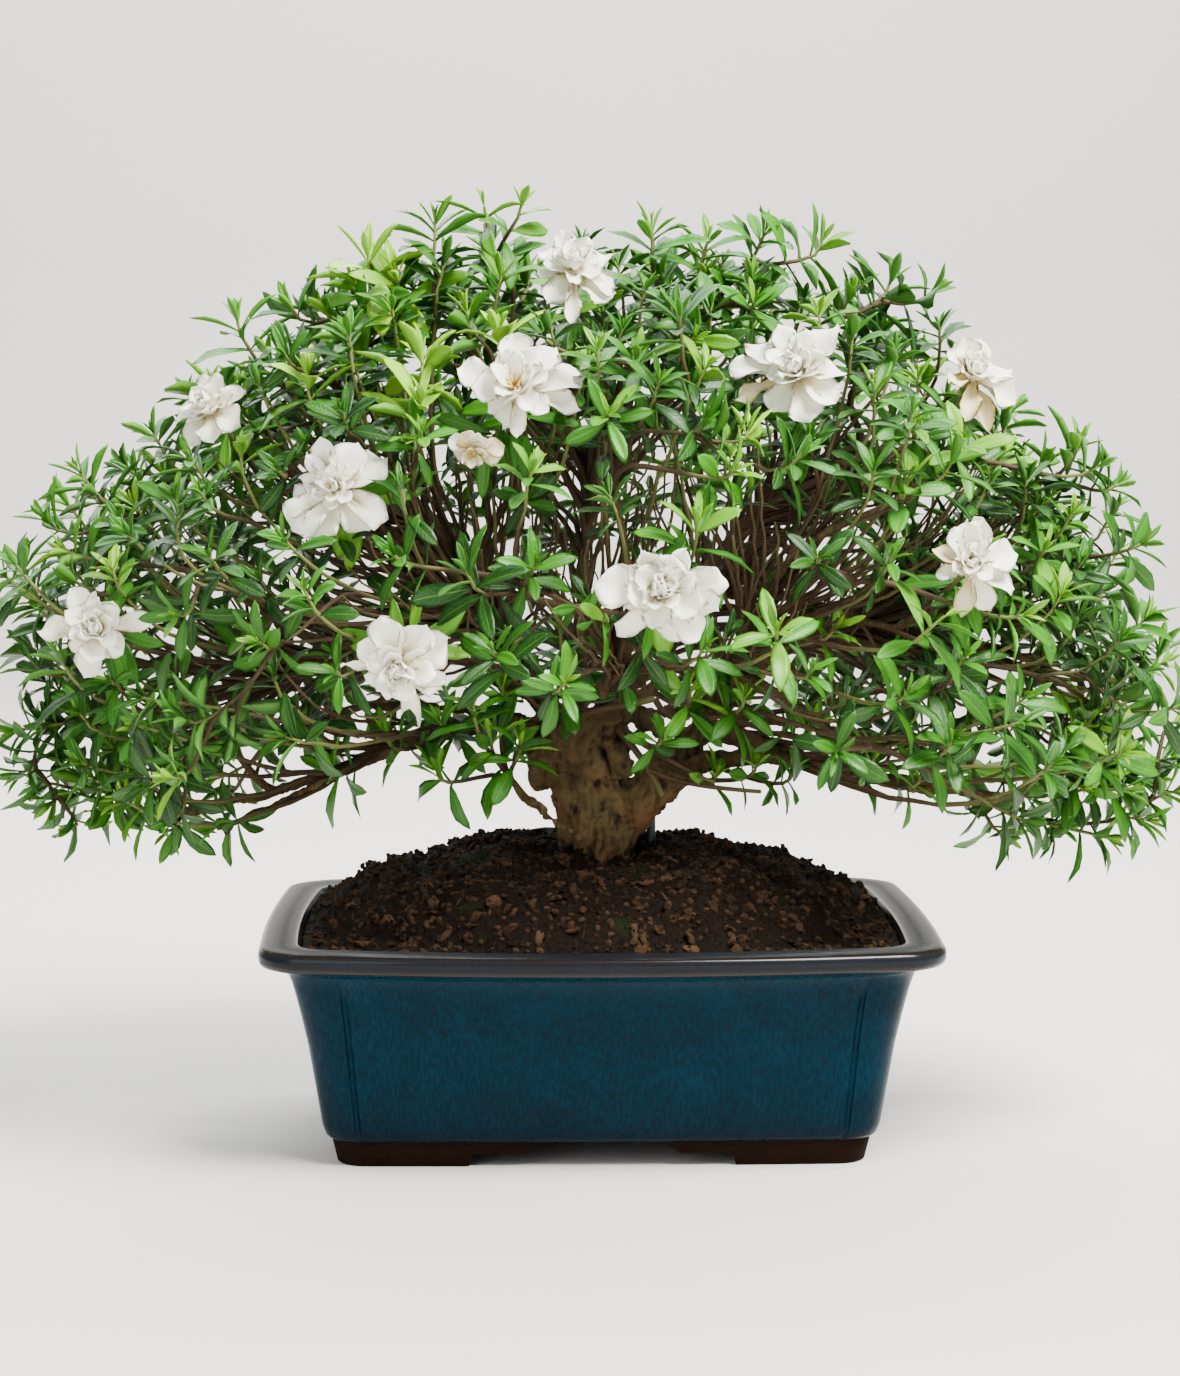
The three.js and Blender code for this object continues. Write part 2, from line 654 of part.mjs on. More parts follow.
function meetsPlaced(solid) {
  const bounds = solid.boundingBox();
  return placed.some((other) => {
    return boxesMeet(bounds, other.bounds) && !solid.intersect(other.solid).isEmpty();
  });
}

const plant = new THREE.Group();

function addNode(name, solid, material) {
  placed.push({ bounds: solid.boundingBox(), solid });
  const { vertProperties, triVerts } = solid.getMesh();
  const geometry = new THREE.BufferGeometry();
  geometry.setAttribute("position", new THREE.BufferAttribute(vertProperties, 3));
  geometry.setIndex(new THREE.BufferAttribute(triVerts, 1));
  geometry.computeVertexNormals();
  const mesh = new THREE.Mesh(geometry, new THREE.MeshStandardMaterial(material));
  mesh.name = name;
  plant.add(mesh);
}

// ---------------------------------------------------------------- blooms

// Two vectors at right angles to a direction.
function frameOf(direction) {
  const side = new THREE.Vector3(0, 0, 1).cross(direction).normalize();
  return { side, other: direction.clone().cross(side) };
}

// A bloom: a slim tube that opens into rings of faces, each of which grows a petal.
function makeBloom({ at, facing, radius }, droop, random) {
  const heart = vector(at);
  const along = vector(facing).normalize();
  const { side, other } = frameOf(along);
  const skin = new Skin();
  const ringAt = (height, reach, turn) => {
    const flat = section({ point: moved(heart, [along, height]), side, other }, reach, BLOOM_SIDES);
    return skin.ring(flat.map((point) => point.sub(heart).applyAxisAngle(along, turn).add(heart)));
  };
  const foot = ringAt(-BLOOM_TUBE, BLOOM_TUBE_RADIUS, 0);
  skin.closeFlat([...foot].reverse());
  let height = 0;
  let turn = 0;
  let last = ringAt(height, BLOOM_BANDS[0].radius, turn);
  skin.band(foot, last);
  for (const whorl of BLOOM_BANDS) {
    height += whorl.rise;
    const next = ringAt(height, whorl.radius, turn + radians(WHORL_TURN));
    skin.band(last, next, (k) => k % whorl.every === 0);
    for (let k = 0; k < BLOOM_SIDES; k += whorl.every) {
      const corners = [last[k], last[(k + 1) % BLOOM_SIDES], next[(k + 1) % BLOOM_SIDES], next[k]];
      const root = middle(corners.map((corner) => skin.points[corner]));
      const away = root.clone().sub(heart);
      const out = moved(away, [along, -away.dot(along)]).normalize();
      growBlade(skin, corners, {
        root,
        out,
        up: along,
        length: radius * whorl.reach * (1 + PETAL_VARIES * eitherWay(random)),
        halfWidth: radius * whorl.width,
        thickness: PETAL_THICKNESS,
        lift: whorl.lift + droop * (whorl === BLOOM_BANDS[0] ? DROOP_OUTER : DROOP_INNER),
        curl: whorl.curl,
        roll: PETAL_ROLL,
        fold: PETAL_CUP,
        stations: PETAL_STATIONS,
      });
    }
    last = next;
    turn += radians(WHORL_TURN);
  }
  skin.close(last, moved(heart, [along, height + HEART_RISE]));
  return skin.solid();
}

// ---------------------------------------------------------------- sprays

// A point on the crown's dome, at a share of the way out from its centre.
function crownPoint(fromTop, around, share = 1) {
  const down = radians(fromTop);
  const turn = radians(around);
  const even = turn + SIDE_STRETCH * Math.sin(2 * turn);
  const height = Math.cos(down) * (fromTop < 90 ? CROWN_RISE : CROWN_DROP);
  return new THREE.Vector3(
    share * CROWN_HALF_WIDTH * Math.sin(down) * Math.cos(even),
    share * CROWN_HALF_DEPTH * Math.sin(down) * Math.sin(even),
    CROWN_CENTRE_Z + share * height,
  );
}

// The way a tip on the dome points: outwards, and a little more upwards than the dome does.
function outward(point) {
  return new THREE.Vector3(
    point.x / CROWN_HALF_WIDTH,
    point.y / CROWN_HALF_DEPTH,
    (point.z - CROWN_CENTRE_Z) / CROWN_RISE + UPWARD_LEAN,
  ).normalize();
}

const twoDigits = (number) => String(number).padStart(2, "0");

// The spray that carries a bloom, by one stem that ends behind it.
function planFlowering(bloom, number) {
  const facing = vector(bloom.facing).normalize();
  const end = moved(vector(bloom.at), [facing, -BLOOM_TUBE - GAP]);
  const inward = new THREE.Vector3(-end.x / 2, -end.y, TRUNK[TRUNK.length - 1].at[2] - end.z).normalize();
  const base = moved(end, [facing, -FLOWER_STEM_STRAIGHT], [inward, FLOWER_STEM_INWARD]);
  const heading = end.clone().sub(base).normalize();
  return { name: `flowering_spray_${twoDigits(number)}`, base, heading, end, facing };
}

// The sprays of the dome, each with two tips, in rings from the top down.
function planDome() {
  const drawn = makeRandom(DOME_SEED);
  const dome = [];
  for (const { fromTop, sprays, turn } of CROWN_RINGS) {
    const step = 360 / sprays;
    for (let k = 0; k < sprays; k += 1) {
      const around = turn + k * step;
      const fromFront = Math.abs(((around + 270) % 360) - 180);
      if (fromTop > OPEN_FRONT_FROM_TOP && fromFront < OPEN_FRONT_HALF_ANGLE) continue;
      const tips = [-1, 1].map((way) => {
        const tip = crownPoint(fromTop + TIP_SPREAD * way, around + (way * step) / 4);
        return moved(tip, [outward(tip), TIP_PULL * (eitherWay(drawn) - 1)]);
      });
      const base = crownPoint(fromTop, around, BASE_REACH);
      const name = `leafy_spray_${twoDigits(dome.length + 1)}`;
      dome.push({ name, base, heading: outward(base), tips });
    }
  }
  return dome;
}

function planLow() {
  const heading = vector(LOW_SPRAY.heading).normalize();
  const [base, tip] = [LOW_SPRAY.base, LOW_SPRAY.tip].map(vector);
  return { name: "leafy_spray_low", base, heading, tips: [tip] };
}

// A shoot: a four-sided stem that ends in opposite pairs of leaves and a bud, or in a calyx.
function makeShoot(curve, fromRadius, pairs, calyx, random) {
  const frames = framesAlong(curve, SHOOT_STEPS);
  const skin = new Skin();
  const turn = Math.PI * random();
  const at = (frame, radius) => skin.ring(section(frame, radius, 4));
  let ring = null;
  frames.forEach((frame, k) => {
    frame.side.applyAxisAngle(frame.along, turn);
    frame.other = frame.along.clone().cross(frame.side);
    const next = at(frame, fromRadius + ((TWIG_TIP_RADIUS - fromRadius) * k) / SHOOT_STEPS);
    if (ring) skin.band(ring, next);
    else skin.closeFlat([...next].reverse());
    ring = next;
  });
  const frame = { ...frames[SHOOT_STEPS] };
  const up = frame.along;
  pairs.forEach((pair, k) => {
    frame.point = moved(frame.point, [up, pair.band]);
    const next = at(frame, TWIG_TIP_RADIUS * (1 - PAIR_NARROWS * k));
    const grown = [0, 1, 2, 3].map((face) => {
      return (face + k) % 2 === 1 && leafOn(skin, ring, next, face, up, pair, random);
    });
    skin.band(ring, next, (face) => grown[face]);
    ring = next;
  });
  if (calyx) {
    frame.point = moved(frame.point, [up, CALYX_LENGTH]);
    const next = at(frame, CALYX_RADIUS);
    skin.band(ring, next);
    skin.closeFlat(next);
  } else {
    skin.close(ring, moved(frame.point, [up, BUD_LENGTH]));
  }
  return skin.solid();
}

// Grows one leaf from a face of a twig, bent or shortened to stay clear of what is there already.
function leafOn(skin, ring, next, face, up, pair, random) {
  const corners = [ring[face], ring[(face + 1) % 4], next[(face + 1) % 4], next[face]];
  const places = corners.map((corner) => skin.points[corner]);
  const root = middle(places);
  const out = places[1].clone().sub(places[0]).cross(up).normalize();
  const size = pair.length * (1 + LEAF_VARIES.length * eitherWay(random));
  const lift = pair.lift + LEAF_VARIES.lift * eitherWay(random);
  const curl = LEAF_CURL + LEAF_VARIES.curl * eitherWay(random);
  const roll = LEAF_VARIES.roll * eitherWay(random);
  for (const change of LEAF_TRIES) {
    const blade = {
      root,
      out,
      up,
      length: size * change.length,
      halfWidth: size * LEAF_WIDTH_SHARE,
      thickness: LEAF_THICKNESS,
      lift: lift + change.lift,
      curl,
      roll,
      fold: LEAF_FOLD,
      stations: pair.stations,
    };
    if (meetsPlaced(testBlade(blade))) continue;
    growBlade(skin, corners, blade);
    return true;
  }
  return false;
}

// Builds a shoot from a spray's base to one of its tips, bent sideways where it would meet something.
function bentShoot(base, heading, tip, direction, make) {
  const length = tip.distanceTo(base);
  const { side, other } = frameOf(heading);
  for (const [across, over] of BEND_TRIES) {
    const curve = new THREE.CubicBezierCurve3(
      base,
      moved(base, [heading, length * SHOOT_LEAVES], [side, across], [other, over]),
      moved(tip, [direction, -length * SHOOT_ARRIVES]),
      tip,
    );
    const shoot = make(curve);
    if (!meetsPlaced(shoot)) return shoot;
  }
  return null;
}

function makeSpray(plan, random) {
  const foot = moved(plan.base, [plan.heading, GAP]);
  if (plan.facing) {
    const pairs = LEAF_PAIRS.slice(0, 2).map((pair) => {
      return { ...pair, lift: pair.lift - FLOWER_LEAF_LOWER };
    });
    const used = pairs.reduce((total, { band }) => total + band, CALYX_LENGTH);
    const tip = moved(plan.end, [plan.facing, -used]);
    const make = (curve) => makeShoot(curve, STEM_RADIUS, pairs, true, random);
    return bentShoot(foot, plan.heading, tip, plan.facing, make);
  }
  const shoots = plan.tips.map((tip) => {
    const make = (curve) => makeShoot(curve, STEM_RADIUS, LEAF_PAIRS, false, random);
    return bentShoot(foot, plan.heading, tip, outward(tip), make);
  });
  return mainPiece(shoots.filter((shoot) => shoot).reduce((spray, shoot) => spray.add(shoot)));
}

// ---------------------------------------------------------------- the plant in its pot

const plans = [
  ...[...BLOOMS, WILTED_BLOOM].map((bloom, k) => planFlowering(bloom, k + 1)),
  planLow(),
  ...planDome(),
];

const limbs = LIMBS.map((limb) => makeLimb(limb));
const branches = plans.map((plan) => {
  return stem(branchLine(plan), BRANCH_STEPS, BRANCH_RADIUS, STEM_RADIUS, BRANCH_SIDES);
});
const trunk = mainPiece([...limbs, ...branches].reduce((wood, piece) => wood.add(piece), makeTrunk()));
const propped = makeTrunk(GAP).add(makeLimb(LIMBS[0], GAP));
const stake = mainPiece(uprightRod(STAKE_RADIUS, STAKE_FOOT_Z).subtract(propped));

addNode("pot", makePot(), GLAZE);
addNode("drain_screen_left", makeScreen(-DRAIN_HOLE_X), SCREEN);
addNode("drain_screen_right", makeScreen(DRAIN_HOLE_X), SCREEN);
addNode("soil", makeSoil([
  makeTrunk(GAP),
  uprightRod(STAKE_RADIUS + GAP, STAKE_FOOT_Z - GAP),
  screenRoom(-DRAIN_HOLE_X),
  screenRoom(DRAIN_HOLE_X),
]), SOIL);
addNode("trunk_and_limbs", trunk, BARK);
addNode("prop_stake", stake, STAKE);

const random = makeRandom(LEAF_SEED);
BLOOMS.forEach((bloom, k) => {
  addNode(`bloom_${twoDigits(k + 1)}`, makeBloom(bloom, 0, random), PETAL);
});
addNode("bloom_wilted", makeBloom(WILTED_BLOOM, 1, random), OLD_PETAL);
plans.forEach((plan, k) => {
  addNode(plan.name, makeSpray(plan, random), k % 3 ? LEAF : YOUNG_LEAF);
});

plant.name = "potted_gardenia";
export default plant;
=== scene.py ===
"""A gardenia trained as a low, wide tree in a glazed pot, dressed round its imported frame.

Lengths in the tables below are millimetres, as on the maker's drawing. Meshes are in metres.
The front of the pot is towards -Y, and the origin is on the table below the pot's middle.
"""

import json
import math
import random

import bmesh
import bpy
import numpy as np
from bpy.props import FloatProperty, FloatVectorProperty, IntProperty, PointerProperty
from mathutils import Matrix, Quaternion, Vector, noise

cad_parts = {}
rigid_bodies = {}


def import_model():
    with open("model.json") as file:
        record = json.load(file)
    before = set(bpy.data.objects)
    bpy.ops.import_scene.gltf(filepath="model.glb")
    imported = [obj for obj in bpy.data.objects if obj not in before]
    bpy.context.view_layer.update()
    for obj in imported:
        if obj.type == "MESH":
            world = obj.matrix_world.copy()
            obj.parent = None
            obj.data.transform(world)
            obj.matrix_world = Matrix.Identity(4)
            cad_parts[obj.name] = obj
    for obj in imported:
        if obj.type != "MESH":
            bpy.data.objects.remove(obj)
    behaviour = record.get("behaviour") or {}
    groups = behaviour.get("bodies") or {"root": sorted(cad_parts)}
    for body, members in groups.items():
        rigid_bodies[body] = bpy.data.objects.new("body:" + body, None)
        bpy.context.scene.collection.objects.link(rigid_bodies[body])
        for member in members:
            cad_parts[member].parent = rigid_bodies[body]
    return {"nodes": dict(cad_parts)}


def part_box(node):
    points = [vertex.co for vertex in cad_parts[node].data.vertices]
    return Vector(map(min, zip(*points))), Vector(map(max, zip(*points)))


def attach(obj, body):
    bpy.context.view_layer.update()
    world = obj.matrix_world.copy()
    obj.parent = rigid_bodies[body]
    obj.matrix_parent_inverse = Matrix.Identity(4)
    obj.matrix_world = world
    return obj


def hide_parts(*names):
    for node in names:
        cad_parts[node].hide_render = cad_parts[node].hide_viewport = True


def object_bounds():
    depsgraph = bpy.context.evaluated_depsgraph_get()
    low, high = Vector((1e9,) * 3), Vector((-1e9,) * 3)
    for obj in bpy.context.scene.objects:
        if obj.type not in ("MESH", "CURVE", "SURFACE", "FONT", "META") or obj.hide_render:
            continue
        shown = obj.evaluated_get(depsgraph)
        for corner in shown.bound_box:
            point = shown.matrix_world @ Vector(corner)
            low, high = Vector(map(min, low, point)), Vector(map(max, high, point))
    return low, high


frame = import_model()
CAD_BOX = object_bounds()

bl_info = {
    "name": "Potted Gardenia",
    "version": (1, 0, 0),
    "blender": (4, 5, 0),
    "location": "View3D > Sidebar > Gardenia",
    "description": "Grows the wood, leaves, blooms, soil and glazed pot of a small trained gardenia",
    "category": "Object",
}

MM = 0.001
UP = Vector((0, 0, 1))

# -------- the plan of the plant

TRUNK = [
    ((2, 2, 72), 13), ((2, 0, 118), 19), ((1, 0, 130), 17.5), ((1, 0, 143), 15.5), ((1, 0, 154), 18),
    ((-2, 0, 167), 19), ((-6, 0, 180), 16.5), ((-10, 1, 193), 24), ((-11, 2, 205), 23), ((-11, 2, 213), 13),
]
LIMBS = [
    (12.5, 3.2, [(5, 0, 148), (20, -2, 170), (42, -5, 196), (62, -7, 204), (113, -10, 186),
                 (169, -12, 176), (212, -10, 164)]),
    (6.5, 3, [(-14, 0, 194), (-42, -4, 208), (-97, -8, 200), (-147, -12, 178), (-208, -10, 164)]),
    (6, 3, [(-16, 4, 196), (-47, 6, 232), (-110, 8, 240), (-172, 8, 232), (-212, 4, 240)]),
    (6, 3, [(-14, 6, 200), (-48, 12, 262), (-92, 16, 312), (-140, 18, 345)]),
    (6, 3, [(-9, 6, 202), (-8, 14, 270), (-2, 16, 330), (4, 12, 378)]),
    (6, 3, [(-4, 4, 200), (38, 10, 262), (84, 14, 316), (132, 16, 345)]),
    (6, 3, [(34, -4, 188), (78, 2, 232), (140, 4, 262), (205, 2, 278)]),
    (5, 2.8, [(-13, -6, 200), (-44, -40, 248), (-78, -76, 292)]),
    (5, 2.8, [(44, -6, 198), (62, -42, 240), (90, -76, 292)]),
    (5, 2.8, [(-6, -8, 200), (4, -50, 232), (14, -96, 262)]),
    (5.2, 2.8, [(-13, 8, 200), (-52, 52, 256), (-92, 92, 296)]),
    (5.2, 2.8, [(-2, 8, 200), (52, 52, 256), (96, 92, 296)]),
    (5, 2.8, [(-8, 10, 198), (-8, 62, 228), (-6, 108, 252)]),
    (3.6, 2.6, [(-2, -8, 146), (-22, -30, 160), (-37, -42, 174)]),
]
LOW_SPRAY = {"base": (-43, -47, 183), "tip": (-54, -55, 207), "heading": (-0.5, -0.35, 0.8)}
BRANCH_PLACES = [0.3, 0.4, 0.5, 0.6, 0.7, 0.8, 0.9, 1]
TURNING_COST = 0.8
CROWN_CENTRE_Z = 268
CROWN_HALF_WIDTH = 284
CROWN_HALF_DEPTH = 168
CROWN_RISE = 170
CROWN_DROP = 250
CROWN_RINGS = [(13, 2, 20), (37, 4, 8), (60, 6, 32), (84, 7, 0), (109, 6, 14)]
SIDE_STRETCH = 0.115
BASE_REACH = 0.76
TIP_SPREAD = 5
TIP_PULL = 6
UPWARD_LEAN = 0.35
DOME_SEED = 4177
OPEN_FRONT_FROM_TOP = 100
OPEN_FRONT_HALF_ANGLE = 42
FLOWER_STEM_STRAIGHT = 28
FLOWER_STEM_INWARD = 34
BLOOM_TUBE = 11.3

# Each bloom: its heart, the way it faces, its radius, the radius and the whorls of its ruffled
# heart, its age and a seed.
BLOOMS = [
    ((-13, -46, 431), (0, -0.75, 0.66), 25, 12, 4, 0.3, 3),
    ((-41, -124, 374), (-0.1, -0.9, 0.42), 29, 15, 2, 0.1, 5),
    ((92, -94, 381), (-0.3, -0.75, 0.6), 26, 13.5, 4, 0.15, 7),
    ((182, -36, 380), (0.3, -0.6, 0.75), 25, 12, 3, 0.3, 11),
    ((-124, -122, 328), (-0.2, -0.95, 0.2), 25, 9, 3, 0.05, 13),
    ((24, -172, 283), (0, -1, 0.05), 28, 15.5, 4, 0.12, 17),
    ((168, -128, 293), (0.1, -0.9, 0.4), 24, 10, 3, 0.3, 19),
    ((-238, -96, 262), (-0.15, -0.98, 0.1), 26, 13, 4, 0.2, 23),
    ((-94, -164, 250), (-0.1, -0.95, -0.25), 24, 13, 4, 0.1, 29),
    ((-188, -50, 364), (-0.4, -0.7, 0.6), 20, 12, 3, 0.1, 31),
    ((-60, -128, 346), (-0.35, -0.85, -0.35), 12, 6, 2, 0.75, 37),
]


def lehmer(seed):
    """The repeatable series of numbers that sets where the drawn tips are."""
    state = seed
    while True:
        state = state * 48271 % 2147483647
        yield state / 2147483647


class SmoothLine:
    """A curve through hand-set points, with a point and a direction at each share of it."""

    def __init__(self, points):
        self.points = [Vector(p) for p in points]

    def point(self, share):
        pts = self.points
        last = len(pts) - 1
        k = min(int(last * share), last - 1)
        w = last * share - k
        a = pts[k - 1] if k > 0 else 2 * pts[0] - pts[1]
        b, c = pts[k], pts[k + 1]
        d = pts[k + 2] if k + 2 <= last else 2 * pts[last] - pts[last - 1]
        go, come = (c - a) / 2, (d - b) / 2
        return b + go * w + (3 * (c - b) - 2 * go - come) * w ** 2 + (2 * (b - c) + go + come) * w ** 3

    def along(self, share):
        return (self.point(min(share + 1e-4, 1)) - self.point(max(share - 1e-4, 0))).normalized()


def bezier(a, b, c, d, steps):
    """Points at even shares of a cubic curve."""
    line = []
    for k in range(steps + 1):
        t = k / steps
        s = 1 - t
        line.append(a * s ** 3 + b * (3 * s * s * t) + c * (3 * s * t * t) + d * t ** 3)
    return line


def crown_point(from_top, around, share=1.0):
    """A point on the crown's dome, at a share of the way out from its centre."""
    down, turn = math.radians(from_top), math.radians(around)
    even = turn + SIDE_STRETCH * math.sin(2 * turn)
    height = math.cos(down) * (CROWN_RISE if from_top < 90 else CROWN_DROP)
    return Vector((
        share * CROWN_HALF_WIDTH * math.sin(down) * math.cos(even),
        share * CROWN_HALF_DEPTH * math.sin(down) * math.sin(even),
        CROWN_CENTRE_Z + share * height,
    ))


def outward(point):
    """The way a tip on the dome points: out, and a little more upwards than the dome does."""
    rise = (point.z - CROWN_CENTRE_Z) / CROWN_RISE + UPWARD_LEAN
    return Vector((point.x / CROWN_HALF_WIDTH, point.y / CROWN_HALF_DEPTH, rise)).normalized()


LIMB_LINES = [SmoothLine(line) for _, _, line in LIMBS]


def branch_root(base):
    """The place on the limbs from which a branch reaches `base` with the least length and turning."""
    best = None
    for line in LIMB_LINES:
        for share in BRANCH_PLACES:
            point, along = line.point(share), line.along(share)
            reach = base - point
            turning = 1 - reach.normalized().dot(along)
            cost = reach.length * (1 + TURNING_COST * turning)
            if best is None or cost < best[0]:
                best = (cost, point, along)
    return best[1], best[2]


def branch_line(base, heading, steps):
    """The centre line of the branch that carries a spray."""
    point, along = branch_root(base)
    length = (base - point).length
    return bezier(point - along, point + along * length * 0.3, base - heading * length * 0.35, base, steps)


def from_front(around):
    """The angle round the crown between a place and the very front."""
    return abs((around + 270) % 360 - 180)


def plan_flowering(bloom):
    """The stem that ends behind a bloom."""
    facing = Vector(bloom[1]).normalized()
    end = Vector(bloom[0]) - facing * BLOOM_TUBE
    inward = Vector((-end.x / 2, -end.y, TRUNK[-1][0][2] - end.z)).normalized()
    base = end - facing * FLOWER_STEM_STRAIGHT + inward * FLOWER_STEM_INWARD
    return {"base": base, "heading": (end - base).normalized(), "end": end, "facing": facing}


def plan_dome():
    """The drawn sprays of the dome, each with two tips, in rings from the top down."""
    drawn = lehmer(DOME_SEED)
    dome = []
    for from_top, sprays, turn in CROWN_RINGS:
        step = 360 / sprays
        for k in range(sprays):
            around = turn + k * step
            if from_top > OPEN_FRONT_FROM_TOP and from_front(around) < OPEN_FRONT_HALF_ANGLE:
                continue
            tips = []
            for way in (-1, 1):
                tip = crown_point(from_top + TIP_SPREAD * way, around + way * step / 4)
                pull = TIP_PULL * (2 * next(drawn) - 1 - 1)
                tips.append(tip + outward(tip) * pull)
            base = crown_point(from_top, around, BASE_REACH)
            dome.append({"base": base, "heading": outward(base), "tips": tips})
    return dome


FLOWERING = [plan_flowering(bloom) for bloom in BLOOMS]
LOW = {
    "base": Vector(LOW_SPRAY["base"]),
    "heading": Vector(LOW_SPRAY["heading"]).normalized(),
    "tip": Vector(LOW_SPRAY["tip"]),
}
DOME = plan_dome()

# -------- sizes and colours


def srgb(code):
    """A colour from its screen code, in the linear values that the shaders take."""
    parts = [int(code[k:k + 2], 16) / 255 for k in (0, 2, 4)]
    linear = [p / 12.92 if p <= 0.04045 else ((p + 0.055) / 1.055) ** 2.4 for p in parts]
    return tuple(linear)


def colour(name, code, description):
    return FloatVectorProperty(
        name=name, description=description, subtype="COLOR", size=3, min=0, max=1, default=srgb(code))


def length(name, default_mm, description, least=0.0):
    return FloatProperty(
        name=name, description=description, unit="LENGTH", min=least, default=default_mm * MM)


def count(name, default, description):
    return IntProperty(name=name, description=description, min=0, default=default)


def watts(name, default, description):
    return FloatProperty(name=name, description=f"Strength of {description}, in watts", default=default)


class PotSettings(bpy.types.PropertyGroup):
    glaze: colour("Glaze", "011f2d", "Colour of the glaze on the walls")
    glaze_dark: colour("Glaze in hollows", "01060b", "Colour where the glaze runs thin or pools")
    glaze_edge: colour("Glaze on edges", "1a130e", "Brown that shows where the glaze breaks on an edge")
    clay: colour("Clay", "1a0e07", "Colour of the unglazed feet")
    glaze_line: length("Glaze line", 12.6, "Height above the table where the glaze ends")


class SoilSettings(bpy.types.PropertyGroup):
    dark: colour("Moist soil", "070402", "Darkest soil")
    light: colour("Dry crumbs", "453222", "Lightest crumbs and chips")
    moss: colour("Moss", "1b260b", "Moss on the crumbs")
    crumbs: count("Crumbs", 61000, "Crumbs of peat on each square metre")
    chips: count("Bark chips", 20000, "Bark chips on each square metre")
    seed: count("Seed", 7, "Changes where the crumbs and chips lie")


class WoodSettings(bpy.types.PropertyGroup):
    bark: colour("Bark", "6f5a3c", "Colour of the old bark")
    # Also the colour of the painted shade in the bark's hollows and on the trunk under the crown.
    bark_cracks_and_shade: colour("Bark in cracks", "1b1209", "Colour of cracks and hollows in the bark")
    bark_green: colour("Algae", "4b4427", "Green tone on the bark")
    bark_red: colour("Bare bark", "6b4124", "Reddish tone where the bark has rubbed off")
    twig: colour("Twigs", "3f2f1a", "Colour of the thin brown twigs")
    green_twig: colour("Green shoots", "7d8a45", "Colour of this year's shoots")
    voxel: length("Smallest bark form", 1.45, "Size of the finest form kept in the trunk", 0.0005)


class LeafSettings(bpy.types.PropertyGroup):
    old: colour("Old leaves", "10380a", "Colour of the oldest leaves")
    grown: colour("Grown leaves", "34780f", "Colour of grown leaves")
    # The real lighter green of young leaves, made brighter still as painted light shining through them.
    young: colour("Young leaves", "88bc1a", "Colour of the youngest leaves")
    underside: colour("Undersides", "5b8a34", "Colour of the leaves' undersides")
    leaf_length: length("Leaf length", 27, "Length of a grown leaf", 0.005)
    spacing: length("Shoot spacing", 21, "Least distance between the ends of two shoots", 0.01)
    tries: count("Tries", 9000, "Places tried for a shoot")
    seed: count("Seed", 11, "Changes where the shoots grow")


class BloomSettings(bpy.types.PropertyGroup):
    petal: colour("Petals", "f7f5e6", "Colour of a fresh petal")
    heart: colour("Heart", "f0e3b0", "Colour deep in the bloom")
    old_petal: colour("Old petals", "cbab4c", "Colour of a wilting petal")
    stamen: colour("Stamens", "d2b048", "Colour of the stamens")


class StageSettings(bpy.types.PropertyGroup):
    floor: colour("Floor", "ddd8d0", "Colour of the floor")
    key: watts("Key light", 215, "the main light")
    fill: watts("Fill light", 26, "the front light")
    back: watts("Back light", 55, "the light behind")
    backdrop: watts("Backdrop light", 170, "the light on the backdrop")


# -------- node helpers


